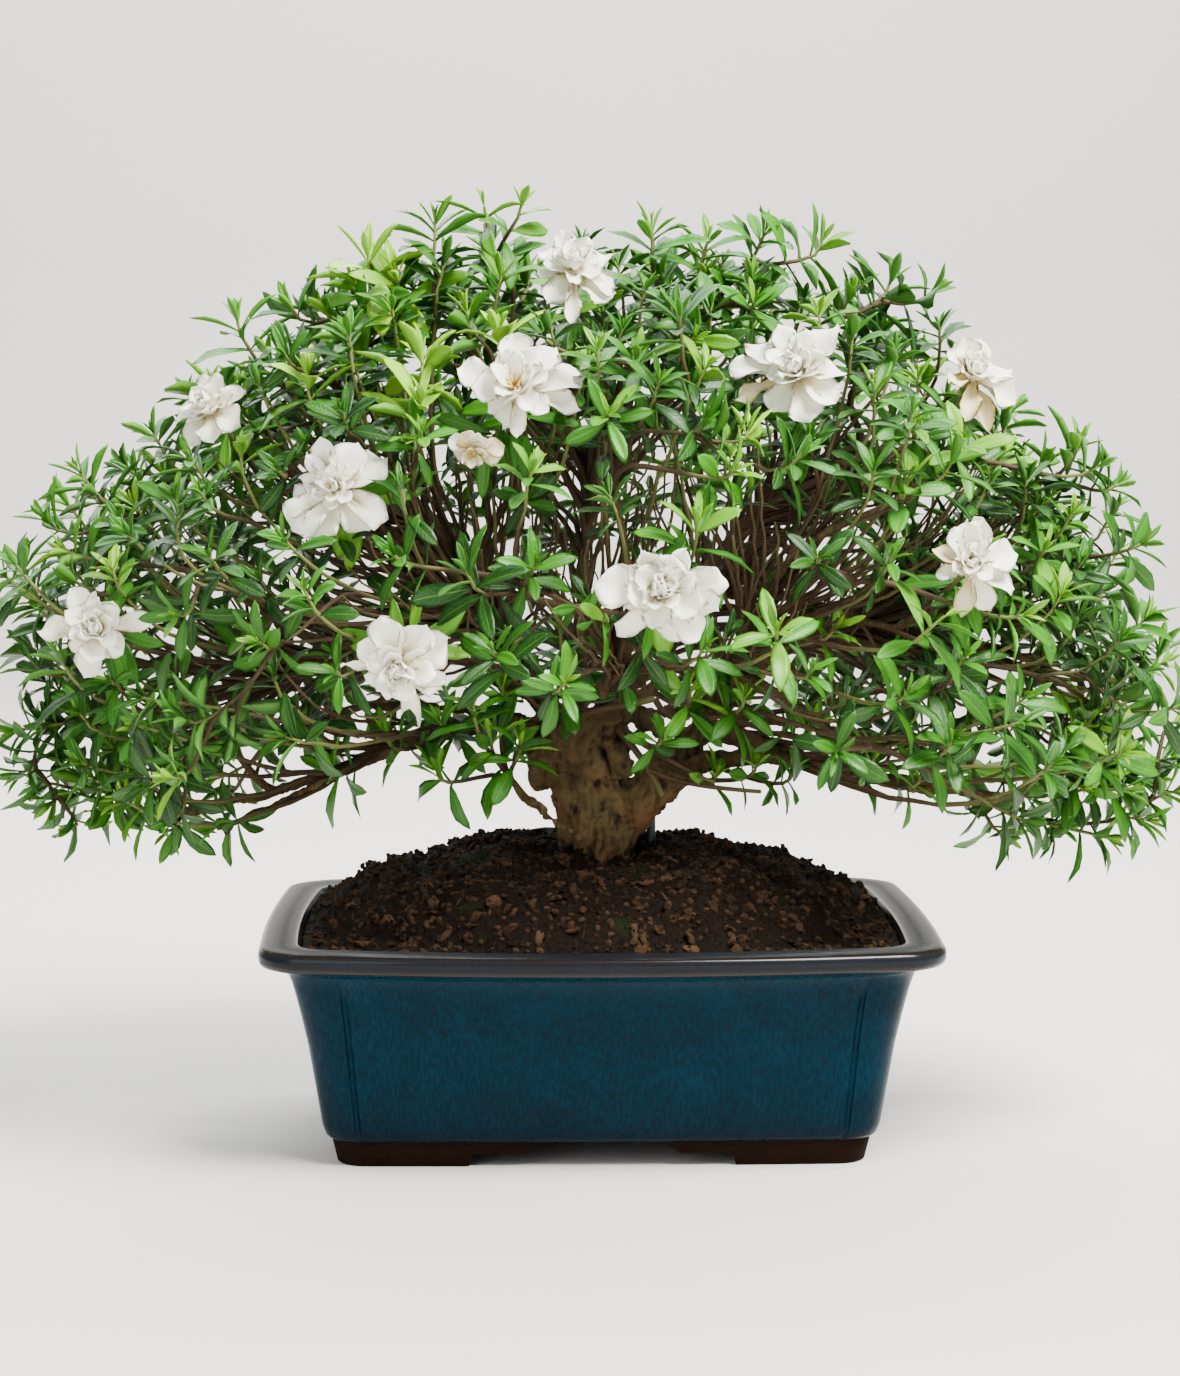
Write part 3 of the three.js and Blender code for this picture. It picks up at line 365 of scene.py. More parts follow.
class Graph:
    """Adds nodes to a node tree and links them. A socket given as an input is linked to it."""

    def __init__(self, tree):
        self.tree = tree

    def add(self, kind, inputs=None, **settings):
        node = self.tree.nodes.new(kind)
        for name, value in settings.items():
            setattr(node, name, value)
        for name, value in (inputs or {}).items():
            self.put(node.inputs[name], value)
        return node

    def put(self, socket, value):
        if isinstance(value, bpy.types.NodeSocket):
            self.tree.links.new(value, socket)
        elif value is not None:
            socket.default_value = value

    def made(self, kind, inputs=None, **settings):
        """The first output of a new node."""
        return self.add(kind, inputs, **settings).outputs[0]

    def math(self, operation, *values):
        node = self.add("ShaderNodeMath", operation=operation)
        for socket, value in zip(node.inputs, values):
            self.put(socket, value)
        return node.outputs[0]

    def times(self, a, b):
        return self.math("MULTIPLY", a, b)

    def line(self, value, slope, start):
        return self.math("MULTIPLY_ADD", value, slope, start)

    def held(self, value):
        """A value kept between 0 and 1."""
        return self.made("ShaderNodeClamp", {"Value": value})

    def rise(self, value, low, high, first=0.0, last=1.0):
        """Goes from the first to the last value while another goes from low to high."""
        return self.made("ShaderNodeMapRange", {
            "Value": value, "From Min": low, "From Max": high, "To Min": first, "To Max": last})

    def noise(self, vector, scale, detail=4.0, rough=0.55, distortion=0.0):
        return self.made("ShaderNodeTexNoise", {
            "Vector": vector, "Scale": scale, "Detail": detail, "Roughness": rough,
            "Distortion": distortion})

    def ramp(self, factor, stops):
        node = self.add("ShaderNodeValToRGB", {"Fac": factor})
        elements = node.color_ramp.elements
        while len(elements) < len(stops):
            elements.new(0.5)
        for element, (place, shade) in zip(elements, stops):
            element.position = place
            element.color = (*shade, 1)
        return node.outputs["Color"]

    def joined(self, *pieces):
        """One geometry of several."""
        node = self.add("GeometryNodeJoinGeometry")
        for piece in pieces:
            self.put(node.inputs[0], piece)
        return node.outputs[0]

    def placed(self, points, shapes, inputs):
        """Shapes picked from a collection and set on points."""
        shapes = self.made("GeometryNodeCollectionInfo", {
            "Collection": shapes, "Separate Children": True, "Reset Children": True})
        return self.made("GeometryNodeInstanceOnPoints", {
            "Points": points, "Instance": shapes, "Pick Instance": True, **inputs})

    def real(self, pieces):
        return self.made("GeometryNodeRealizeInstances", {"Geometry": pieces})

    def dressed(self, piece, material):
        return self.made("GeometryNodeSetMaterial", {"Geometry": piece, "Material": material})

    def stored(self, name, kind):
        return self.made("GeometryNodeInputNamedAttribute", {"Name": name}, data_type=kind)

    def mix(self, factor, a, b):
        node = self.add("ShaderNodeMix", data_type="RGBA")
        self.put(node.inputs["Factor"], factor)
        for name, value in (("A", a), ("B", b)):
            socket = [s for s in node.inputs if s.name == name and s.type == "RGBA"][0]
            self.put(socket, value if isinstance(value, bpy.types.NodeSocket) else (*value, 1))
        return [s for s in node.outputs if s.type == "RGBA"][0]


def new_group(name, kind, inputs, outputs):
    """A new node group. Returns its graph, its given values and the sockets that take its results."""
    group = bpy.data.node_groups.new(name, kind)
    for label, (socket, default) in inputs.items():
        made = group.interface.new_socket(label, in_out="INPUT", socket_type="NodeSocket" + socket)
        if default is not None:
            made.default_value = default
    for label, socket in outputs.items():
        group.interface.new_socket(label, in_out="OUTPUT", socket_type="NodeSocket" + socket)
    graph = Graph(group)
    return graph, graph.add("NodeGroupInput").outputs, graph.add("NodeGroupOutput").inputs


def patchy_tone_group():
    """Soft patches of two colours, at a given scale, with finer flecks in them."""
    graph, given, result = new_group(
        "patchy_tone", "ShaderNodeTree",
        {"Vector": ("Vector", None), "Scale": ("Float", 40.0), "Contrast": ("Float", 1.0),
         "Light": ("Color", (0.8, 0.8, 0.8, 1)), "Dark": ("Color", (0.2, 0.2, 0.2, 1))},
        {"Color": "Color"})
    broad = graph.noise(given["Vector"], given["Scale"], 3)
    fine = graph.noise(given["Vector"], graph.times(given["Scale"], 5.3), 3)
    both = graph.line(fine, 0.35, graph.times(broad, 0.65))
    spread = graph.times(graph.math("SUBTRACT", both, 0.5), given["Contrast"])
    mask = graph.held(graph.line(spread, 3.0, 0.5))
    graph.put(result["Color"], graph.mix(mask, given["Dark"], given["Light"]))
    return graph.tree


def fine_relief_group():
    """The normal of a surface that is rough at a coarse and a fine scale."""
    graph, given, result = new_group(
        "fine_relief", "ShaderNodeTree",
        {"Vector": ("Vector", None), "Scale": ("Float", 100.0), "Strength": ("Float", 0.3),
         "Depth": ("Float", 0.001)},
        {"Normal": "Vector"})
    coarse = graph.noise(given["Vector"], given["Scale"], 4)
    fine = graph.noise(given["Vector"], graph.times(given["Scale"], 6.0), 3)
    graph.put(result["Normal"], graph.made("ShaderNodeBump", {
        "Strength": given["Strength"], "Distance": given["Depth"], "Height": graph.line(fine, 0.3, coarse)}))
    return graph.tree


class Finish(Graph):
    """A new material, with its shader's inputs and the object's own coordinates."""

    def __init__(self, name, roughness, **shader):
        self.material = bpy.data.materials.new(name)
        self.material.use_nodes = True
        super().__init__(self.material.node_tree)
        self.inputs = self.tree.nodes["Principled BSDF"].inputs
        self.place = self.add("ShaderNodeTexCoord").outputs["Object"]
        self.set(Roughness=roughness, **shader)

    def set(self, **values):
        """Sets or links the shader's inputs, each named with _ for a space."""
        for label, value in values.items():
            self.put(self.inputs[label.replace("_", " ")], value)

    def own(self, name):
        """A value that each point of the mesh carries."""
        return self.add("ShaderNodeAttribute", attribute_name=name).outputs["Fac"]

    def height(self):
        return self.add("ShaderNodeSeparateXYZ", {"Vector": self.place}).outputs["Z"]

    def upright(self, share):
        """The object's coordinates, on which a pattern is drawn out upwards."""
        return self.made("ShaderNodeMapping", {"Vector": self.place, "Scale": (1, 1, share)})

    def patches(self, scale, contrast, light, dark):
        group = bpy.data.node_groups.get("patchy_tone") or patchy_tone_group()
        return self.made("ShaderNodeGroup", {
            "Vector": self.place, "Scale": scale, "Contrast": contrast, "Light": (*light, 1),
            "Dark": (*dark, 1)}, node_tree=group)

    def relief(self, scale, strength, depth, place=None):
        group = bpy.data.node_groups.get("fine_relief") or fine_relief_group()
        self.set(Normal=self.made("ShaderNodeGroup", {
            "Vector": place or self.place, "Scale": scale, "Strength": strength, "Depth": depth},
            node_tree=group))

    def bump(self, height, strength, depth):
        self.set(Normal=self.made("ShaderNodeBump", {
            "Strength": strength, "Distance": depth, "Height": height}))

    def blade(self):
        """Across and along a blade from its own map, and whether a point is on the underside."""
        uv = self.made("ShaderNodeUVMap", uv_map="blade_map")
        parts = self.add("ShaderNodeSeparateXYZ", {"Vector": uv}).outputs
        under = self.math("GREATER_THAN", parts["X"], 1.0)
        centred = self.math("SUBTRACT", self.math("SUBTRACT", parts["X"], under), 0.5)
        return self.times(self.math("ABSOLUTE", centred), 2.0), parts["Y"], under


# -------- finishes


def toned(shade, share):
    """A lighter or a darker colour."""
    return tuple(min(1, part * share) for part in shade)


def glaze_finish(pot):
    """Deep blue glaze with fine vertical runs, brown where it breaks, and bare clay on the feet."""
    look = Finish("blue_glaze", 0.25, Specular_IOR_Level=0.05, Coat_Roughness=0.12)
    place, blue, dark, edge = look.place, pot.glaze, pot.glaze_dark, pot.glaze_edge
    runs = look.upright(0.2)
    streaks = look.noise(runs, 760, 3, 0.7)
    specks = look.noise(place, 1150, 2)
    tone = look.line(streaks, 0.74, look.times(look.noise(place, 40, 3), 0.26))
    light = (blue[0] * 2 + 0.001, blue[1] * 1.45, blue[2] * 1.45)
    body = look.ramp(tone, [(0.36, toned(blue, 0.62)), (0.5, blue), (0.64, light)])
    body = look.mix(look.times(look.math("GREATER_THAN", specks, 0.62), 0.3), body, dark)
    broken = look.own("edge_wear")
    body = look.mix(look.held(look.times(broken, look.line(streaks, 1.5, 0.1))), body, edge)
    height = look.height()
    for low, high, share, shade in ((0.048, 0.016, 0.42, dark), (0.0985, 0.1015, 0.55, edge)):
        body = look.mix(look.rise(height, low, high, 0.0, share), body, shade)
    wander = look.line(look.noise(place, 55, 2), 0.0022, -0.0011)
    bare = look.math("LESS_THAN", look.math("ADD", height, wander), pot.glaze_line)
    clay = look.patches(90.0, 0.8, pot.clay, toned(pot.clay, 0.5))
    matt = look.times(look.rise(height, 0.107, 0.1097, 0.0, 0.34), look.math("SUBTRACT", 1.0, broken))
    shine = look.math("ADD", look.line(specks, 0.2, 0.14), matt)
    look.set(Base_Color=look.mix(bare, body, clay),
             Roughness=look.math("MAXIMUM", look.times(bare, 0.85), shine),
             Coat_Weight=look.times(broken, look.rise(height, 0.095, 0.102, 0.02, 0.4)))
    look.relief(260.0, 0.2, 0.0007, runs)
    return look.material


def soil_finish(soil):
    """Moist dark peat and bark, each crumb in its own tone, with a little moss."""
    look = Finish("moist_soil", 0.85, Specular_IOR_Level=0.1)
    place, light = look.place, soil.light
    crumb = look.times(look.math("POWER", look.own("tint"), 2.2), 0.62)
    tone = look.line(look.noise(place, 520, 4, 0.7), 0.55, crumb)
    base = look.ramp(tone, [(0.2, soil.dark), (0.46, toned(light, 0.3)), (0.84, light),
                            (1.0, toned(light, 1.5))])
    patch = look.math("SUBTRACT", look.noise(place, 24, 3), 0.6)
    moss = look.times(look.held(look.times(patch, 9.0)), 0.6)
    look.set(Base_Color=look.mix(moss, base, soil.moss))
    look.relief(500.0, 0.8, 0.0012)
    return look.material


def bark_finish(wood):
    """Old bark: olive and reddish brown in patches, with long fine fissures, painted shade in its hollows and
    painted shade of the crown on the upper trunk.
    """
    look = Finish("old_bark", 0.88, Specular_IOR_Level=0.2)
    place, dark = look.place, wood.bark_cracks_and_shade
    tone = look.patches(70.0, 0.9, wood.bark, wood.bark_green)
    ruddy = look.rise(look.noise(place, 36, 3), 0.52, 0.7, 0.0, 0.45)
    brown = look.mix(ruddy, tone, wood.bark_red)
    # Painted shadow of the crown: the trunk turns darker from 165 mm to 205 mm up.
    brown = look.mix(look.rise(look.height(), 0.165, 0.205, 0.0, 0.45), brown, dark)
    fissures = look.noise(look.upright(0.3), 480, 5, 0.68, 0.6)
    flakes = look.noise(place, 260, 4, 0.6)
    both = look.line(flakes, -1.3, look.times(fissures, -2.0))
    # The hollows of the skin get painted shade in the dark colour; the fissures and flakes are the bark's own
    # cracks.
    deep = look.math("ADD", both, look.line(look.own("hollow"), 1.0, 1.5))
    look.set(Base_Color=look.mix(look.held(deep), brown, dark))
    look.bump(look.line(fissures, 0.9, look.times(flakes, 0.7)), 1.0, 0.0016)
    return look.material


def twig_finish(wood):
    """Brown twigs that turn green towards their young ends."""
    look = Finish("twig_bark", 0.75, Specular_IOR_Level=0.3)
    brown = look.patches(150.0, 1.0, toned(wood.twig, 1.35), toned(wood.twig, 0.6))
    look.set(Base_Color=look.mix(look.own("tint"), brown, wood.green_twig))
    look.relief(600.0, 0.4, 0.0004)
    return look.material


def leaf_finish(leaf):
    """Glossy leaves from dark to yellow-green, with a pale midrib and raised veins."""
    look = Finish("gardenia_leaf", 0.4, Specular_IOR_Level=0.3)
    across, along, under = look.blade()
    age = look.math("SUBTRACT", look.own("tint"), 0.11)
    mottled = look.line(look.noise(look.place, 120, 2), 0.22, age)
    green = look.ramp(mottled, [(0.0, leaf.old), (0.5, leaf.grown), (1.0, leaf.young)])
    rib = look.rise(across, 0.02, 0.085, 0.2, 0.0)
    skewed = look.line(across, -1.6, look.times(along, 9.0))
    between_veins = look.math("ABSOLUTE", look.math("SINE", look.times(skewed, 3.1416)))
    vein = look.math("POWER", look.math("SUBTRACT", 1.0, between_veins), 6.0)
    pale = look.math("MAXIMUM", rib, look.times(vein, 0.07))
    green = look.mix(pale, green, toned(leaf.young, 1.2))
    look.set(Base_Color=look.mix(look.times(under, 0.3), green, leaf.underside),
             Roughness=look.line(under, 0.22, 0.4))
    look.bump(look.math("ADD", look.times(vein, 0.4), look.times(rib, -1.6)), 0.5, 0.0004)
    return look.material


def petal_finish(bloom):
    """Velvety white petals, creamy in the heart, with painted shade at their roots, a darker hem that is
    partly their own edge and partly painted shade, and tan where they wilt.
    """
    look = Finish("white_petal", 0.55, Specular_IOR_Level=0.3)
    place, heart = look.place, bloom.heart
    across, along, _ = look.blade()
    age = look.own("tint")
    base = look.mix(look.rise(along, 0.05, 0.6, 0.9, 0.0), bloom.petal, heart)
    # Painted shade deep at the petals' roots, in a darkened copy of the heart colour.
    base = look.mix(look.rise(along, 0.0, 0.34, 0.85, 0.0), base, toned(heart, 0.4))
    # Darker petal edges: partly the petals' own brownish edge, partly painted shade between the petals.
    hem_tint_and_shade = look.times(look.math("POWER", across, 7.0), 0.42)
    base = look.mix(hem_tint_and_shade, base, toned(heart, 0.55))
    patch = look.line(look.noise(place, 170, 4), 0.7, -0.35)
    edge = look.times(look.math("POWER", across, 3.0), look.times(age, 0.5))
    wilt = look.math("ADD", look.math("ADD", age, edge), look.times(patch, age))
    look.set(Base_Color=look.mix(look.rise(wilt, 0.35, 1.3), base, bloom.old_petal))
    ribs = look.math("SINE", look.times(across, 38.0))
    look.bump(look.line(ribs, 0.2, look.noise(place, 260, 3)), 0.35, 0.0006)
    return look.material


def plain_finish(name, shade, roughness, scale, strength):
    """Moulded plastic or pollen: one tone with soft patches and a fine relief."""
    look = Finish(name, roughness)
    look.set(Base_Color=look.patches(scale, 0.7, toned(shade, 1.3), toned(shade, 0.75)))
    look.relief(scale * 6, strength, 0.0004)
    return look.material


def floor_finish(shade):
    """A pale matt floor with faint patches."""
    look = Finish("pale_floor", 0.75)
    look.set(Base_Color=look.patches(3.0, 0.12, shade, toned(shade, 0.9)))
    return look.material


# -------- mesh helpers


def add_object(name, data):
    obj = bpy.data.objects.new(name, data)
    bpy.context.scene.collection.objects.link(obj)
    return obj


def shade_smooth(mesh):
    mesh.polygons.foreach_set("use_smooth", [True] * len(mesh.polygons))


def mesh_from(name, work):
    """The plain mesh of a bmesh, which is freed."""
    mesh = bpy.data.meshes.new(name)
    work.to_mesh(mesh)
    work.free()
    return mesh


def joined_mesh(name, *parts):
    work = bmesh.new()
    for part in parts:
        work.from_mesh(part)
    return mesh_from(name, work)


def drop_layers(mesh, *names):
    for name in names:
        if name in mesh.attributes:
            mesh.attributes.remove(mesh.attributes[name])


def baked_mesh(obj, name):
    """The plain mesh that an object's modifiers make. The object itself is removed."""
    bpy.context.view_layer.update()
    evaluated = obj.evaluated_get(bpy.context.evaluated_depsgraph_get())
    mesh = bpy.data.meshes.new_from_object(evaluated)
    mesh.name = name
    bpy.data.objects.remove(obj)
    return mesh


def keep_piece(name, mesh, nodes, materials=()):
    """Makes a finished piece of the object: it stands for CAD nodes and moves with the pot."""
    for material in materials:
        mesh.materials.append(material)
    piece = add_object(name, mesh)
    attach(piece, "root")
    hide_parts(*nodes)
    return piece


def set_floats(mesh, name, values):
    layer = mesh.attributes.new(name, "FLOAT", "POINT")
    layer.data.foreach_set("value", values)


class Build:
    """Points and faces of one mesh, in millimetres, with a map and a tint for each point."""

    def __init__(self):
        self.points = []
        self.faces = []
        self.maps = []
        self.tints = []
        self.kinds = []

    def ring(self, points, maps=None, tint=0.0):
        start = len(self.points)
        self.points.extend(points)
        self.maps.extend(maps or [(0, 0)] * len(points))
        self.tints.extend([tint] * len(points))
        return list(range(start, start + len(points)))

    def face(self, corners):
        self.faces.append(corners)
        self.kinds.append(0)

    def band(self, lower, upper):
        count = len(lower)
        for k in range(count):
            n = (k + 1) % count
            self.face([lower[k], lower[n], upper[n], upper[k]])

    def bands(self, rings):
        for lower, upper in zip(rings, rings[1:]):
            self.band(lower, upper)

    def skin(self, rings):
        """A closed skin over rings, with a face at each end."""
        self.face(rings[0][::-1])
        self.bands(rings)
        self.face(rings[-1])

    def fan(self, ring, middle, tint=0.0, flip=False):
        """Faces from a ring to a point in its middle."""
        centre = self.ring([middle], tint=tint)[0]
        for k, corner in enumerate(ring):
            pair = [corner, ring[(k + 1) % len(ring)]]
            self.face([*(pair[::-1] if flip else pair), centre])

    def tube(self, line, radii, sides, tint=0.0):
        """A closed stem along points, with a radius at each."""
        rings = []
        side = None
        for k, point in enumerate(line):
            side, other = square_to(way_at(line, k), side)
            turned = [math.tau * j / sides for j in range(sides)]
            rings.append(self.ring([point + out_at(side, other, a) * radii[k] for a in turned], tint=tint))
        self.skin(rings)

    def mesh(self, name):
        mesh = bpy.data.meshes.new(name)
        mesh.from_pydata([Vector(p) * MM for p in self.points], [], self.faces)
        shade_smooth(mesh)
        mesh.update()
        layer = mesh.uv_layers.new(name="blade_map")
        corners = np.empty(len(mesh.loops), np.int32)
        mesh.loops.foreach_get("vertex_index", corners)
        layer.data.foreach_set("uv", np.array(self.maps, np.float32)[corners].ravel())
        set_floats(mesh, "tint", self.tints)
        mesh.polygons.foreach_set("material_index", self.kinds)
        return mesh


def way_at(line, k):
    """The way a line of points runs at one of them."""
    return (line[min(k + 1, len(line) - 1)] - line[max(k - 1, 0)]).normalized()


def square_to(direction, near=None):
    """Two directions at right angles to a given one, the first as near as can be to `near`."""
    near = near or (UP if abs(direction.z) < 0.9 else Vector((0, -1, 0)))
    side = (near - direction * near.dot(direction)).normalized()
    return side, direction.cross(side)


def out_at(side, other, angle):
    """The way at an angle between two that are square to each other."""
    return side * math.cos(angle) + other * math.sin(angle)


def flat_way(angle):
    return Vector((math.cos(angle), math.sin(angle), 0))


def raised(out, up, angle):
    """A way turned up from another by an angle, and the face that a blade has there."""
    return out_at(out, up, angle), up * math.cos(angle) - out * math.sin(angle)


def turn_of(along, face):
    return Matrix((along, face.cross(along), face)).transposed().to_euler("XYZ")


def held(value):
    """A value kept between 0 and 1."""
    return max(0.0, min(1.0, value))


def loose_way(rng, most_z=1):
    return Vector((rng.uniform(-1, 1), rng.uniform(-1, 1), rng.uniform(-1, most_z)))


def drift(place, apart=UP):
    """A smooth shift that differs from place to place."""
    return Vector((noise.noise(place), noise.noise(place + apart), noise.noise(place - apart)))


# -------- pot

POT_DEPTH_LESS_WIDTH = 46
BODY_CORNER = 14
RIM_CORNER = 20
LEAST_CORNER = 3
GROOVE_HALF_WIDTH = 1.6
GROOVE_DEPTH = 1.4
DRAIN_HOLE_RADIUS = 11
DRAIN_HOLE_X = 58
FOOT_TOP = 14
FOOT_THICKNESS = 14
# Heights with the half width there and how much the glaze breaks there: first from under the body
# up to the top of the rim, then down the inside to the floor.
POT_OUTSIDE = [
    (12.5, 128, 0), (12.5, 131, 0.1), (13.1, 132.2, 0.6), (15, 133.7, 0.2), (20, 135.2, 0), (30, 136.6, 0),
    (45, 138.8, 0), (60, 141, 0), (75, 144, 0), (84, 146, 0), (90, 147.5, 0), (95, 149.3, 0),
    (97.8, 151.5, 0), (99.2, 155.5, 0), (100.2, 159.3, 0.1), (101, 161.3, 0.5), (102.2, 162.3, 0.9),
    (104, 162.9, 0.3), (106.5, 163, 0.2), (108.4, 162.5, 0.7), (109.6, 161.4, 1), (110, 159.5, 0.5),
]
POT_INSIDE = [
    (110, 152, 0.1), (109.9, 147, 0.3), (109.3, 145.2, 0.9), (107.5, 144.3, 0.3), (103, 142.2, 0),
    (97, 139.2, 0), (92, 136.5, 0), (80, 133.6, 0), (60, 129, 0), (40, 124.2, 0), (26, 121, 0),
    (22.6, 119.4, 0), (22, 117.5, 0),
]


def between(z, heights, values):
    return float(np.interp(z, heights, values))


def pot_bows(z, inside):
    """How far the long and the short sides bow out at a height."""
    if inside:
        heights = [22, 92, 103, 110]
        return between(z, heights, [5, 11, 15, 16]), between(z, heights, [2, 4, 4, 4])
    heights = [12.5, 30, 90, 98, 101, 107.5]
    return between(z, heights, [2, 4, 11, 14, 17, 18]), between(z, heights, [1, 2, 4, 4, 4, 4])


def pot_ring(z, half_width, inset=0.0, groove=0.0, inside=False):
    """One level of the pot: a rounded rectangle with bowed sides and a groove near each corner."""
    wide = half_width - inset
    deep = half_width - POT_DEPTH_LESS_WIDTH - inset
    corner = BODY_CORNER if inside else between(z, [88, 98], [BODY_CORNER, RIM_CORNER])
    radius = max(corner - inset, LEAST_CORNER)
    bow, side_bow = pot_bows(z, inside)
    quarter = [(wide, (deep - radius) * share) for share in (0, 0.25, 0.5, 0.75, 0.92)]
    for k in range(9):
        angle = math.radians(90 * k / 8)
        quarter.append((wide - radius * (1 - math.cos(angle)), deep - radius * (1 - math.sin(angle))))
    centre = wide - between(z, [12.5, 30, 60, 90], [17, 18, 20, 23.5])
    for across, depth in ((1, 0), (0.6, 0.75), (0, 1), (-0.6, 0.75), (-1, 0)):
        quarter.append((centre + GROOVE_HALF_WIDTH * across, deep - groove * depth))
    quarter += [(centre * share, deep) for share in (0.93, 0.8, 0.65, 0.5, 0.33, 0.16)]
    back = quarter + [(0, deep)] + [(-x, y) for x, y in quarter[:0:-1]]
    ring = back + [(-x, -y) for x, y in back]
    return [Vector((
        x + math.copysign(side_bow * (1 - (y / deep) ** 2), x) * (x != 0),
        y + math.copysign(bow * (1 - (x / wide) ** 2), y) * (y != 0),
        z)) for x, y in ring]


def pot_body_mesh():
    build = Build()
    rings = []
    for z, half_width, worn in POT_OUTSIDE:
        groove = GROOVE_DEPTH * between(z, [13, 16, 88, 95], [0, 1, 1, 0])
        rings.append(build.ring(pot_ring(z, half_width, 0, groove), tint=worn))
    for z, half_width, worn in POT_INSIDE:
        rings.append(build.ring(pot_ring(z, half_width, inside=True), tint=worn))
    build.bands(rings)
    build.fan(rings[0], UP * POT_OUTSIDE[0][0], flip=True)
    build.fan(rings[-1], UP * POT_INSIDE[-1][0])
    return build.mesh("pot_body")


def prism(name, outline, half_length, along_x):
    """A bar of constant section that runs right under the pot."""
    build = Build()
    ends = []
    for way in (-1, 1):
        ends.append(build.ring([Vector((way * half_length, -a, z)) if along_x else
                                Vector((a, way * half_length, z)) for a, z in outline]))
    build.band(ends[1], ends[0])
    build.face(ends[0])
    build.face(ends[1][::-1])
    work = bmesh.new()
    work.from_mesh(build.mesh(name))
    bmesh.ops.recalc_face_normals(work, faces=work.faces)
    return add_object(name, mesh_from(name, work))


def cut(obj, cutters, name):
    """Cuts the cutters out of an object and returns the mesh that is left."""
    for cutter in cutters:
        change = obj.modifiers.new("cut", "BOOLEAN")
        change.operation = "DIFFERENCE"
        change.solver = "EXACT"
        change.object = cutter
    mesh = baked_mesh(obj, name)
    for cutter in cutters:
        bpy.data.objects.remove(cutter)
    return mesh


def pot_feet_mesh():
    """Four corner feet with stepped ends: a skirt with a notch through each side."""
    build = Build()
    levels = [(0, 127.7), (0.8, 128.5), (11.6, 130.8), (FOOT_TOP, 130.9)]
    outer = [build.ring(pot_ring(z, half), tint=0.4) for z, half in levels]
    inner = [build.ring(pot_ring(z, half, FOOT_THICKNESS)) for z, half in levels[::-1]]
    build.bands([*outer, *inner, outer[0]])
    skirt = add_object("foot_skirt", build.mesh("foot_skirt"))

    def notch(narrow):
        gap, apron = 31 - narrow, 63 - narrow
        right = [(apron + 2, -1), (apron, 6), (apron - 1, 6.5), (gap + 7, 6.5), (gap + 2, 10.5), (gap, 12.5)]
        return right + [(-x, z) for x, z in right[::-1]]

    cutters = [prism("front_notch", notch(0), 190, False), prism("side_notch", notch(12), 190, True)]
    return cut(skirt, cutters, "pot_feet")


class GARDENIA_OT_pot(bpy.types.Operator):
    """Makes the glazed pot with its rim, corner grooves, feet and drain holes"""
    bl_idname = "gardenia.pot"
    bl_label = "Glazed pot"

    def execute(self, context):
        body = add_object("pot_body", pot_body_mesh())
        drains = []
        for x in (-DRAIN_HOLE_X, DRAIN_HOLE_X):
            ring = Build()
            levels = [ring.ring([Vector((x + DRAIN_HOLE_RADIUS * math.cos(math.tau * k / 40),
                                         DRAIN_HOLE_RADIUS * math.sin(math.tau * k / 40), z))
                                 for k in range(40)]) for z in (5, 30)]
            ring.band(*levels)
            ring.face(levels[0][::-1])
            ring.face(levels[1])
            drains.append(add_object("drain", ring.mesh("drain")))
        mesh = joined_mesh("glazed_pot", cut(body, drains, "pot_body"), pot_feet_mesh())
        finished = add_object("glazed_pot_rough", mesh)
        bevel = finished.modifiers.new("soft edges", "BEVEL")
        bevel.width = 0.0007
        bevel.segments = 2
        bevel.angle_limit = math.radians(48)
        mesh = baked_mesh(finished, "glazed_pot")
        shade_smooth(mesh)
        wear = [0.0] * len(mesh.vertices)
        mesh.attributes["tint"].data.foreach_get("value", wear)
        drop_layers(mesh, "tint")
        set_floats(mesh, "edge_wear", wear)
        mesh.materials.clear()
        keep_piece("glazed_pot", mesh, ["pot"], [glaze_finish(context.scene.gardenia_pot)])
        mesh.set_sharp_from_angle(angle=math.radians(42))
        return {"FINISHED"}


class GARDENIA_OT_screens(bpy.types.Operator):
    """Gives the drain screens over the pot's holes their moulded finish"""
    bl_idname = "gardenia.screens"
    bl_label = "Drain screens"

    def execute(self, context):
        finish = plain_finish("moulded_screen", srgb("26282a"), 0.6, 80.0, 0.2)
        for name in ("drain_screen_left", "drain_screen_right"):
            node = frame["nodes"][name]
            node.data.materials.clear()
            node.data.materials.append(finish)
        return {"FINISHED"}


# -------- soil

SOIL_EDGE_Z = 106.5
SOIL_MOUND = 41
SOIL_PEAK_Y = 18
SOIL_DIP = 9
SOIL_DIP_Y = -30
SOIL_DIP_SPREAD = 28
SOIL_ROUNDNESS = 0.6
SOIL_LUMP = 2.4
SOIL_LUMP_PITCH = 8.5
SOIL_SIDES = [(22.4, 117), (24, 119.4), (40, 123.8), (60, 128.6), (80, 133.2), (92, 136.1), (97, 138.8),
              (103, 141.8), (SOIL_EDGE_Z, 143.2)]


def soil_height(x, y):
    """The height of the soil at a place in the pot."""
    wide, deep = 146, 111
    reach = deep - SOIL_PEAK_Y if y > SOIL_PEAK_Y else deep + SOIL_PEAK_Y
    out = min((x / wide) ** 2 + ((y - SOIL_PEAK_Y) / reach) ** 2, 1)
    dip = math.exp(-(x ** 2 + (y - SOIL_DIP_Y) ** 2) / SOIL_DIP_SPREAD ** 2)
    rows = math.sin(y / SOIL_LUMP_PITCH)
    lumps = math.sin(x / SOIL_LUMP_PITCH + rows) * rows * (1 - out ** 4)
    return SOIL_EDGE_Z + SOIL_MOUND * (1 - out) ** SOIL_ROUNDNESS - SOIL_DIP * dip + SOIL_LUMP * lumps


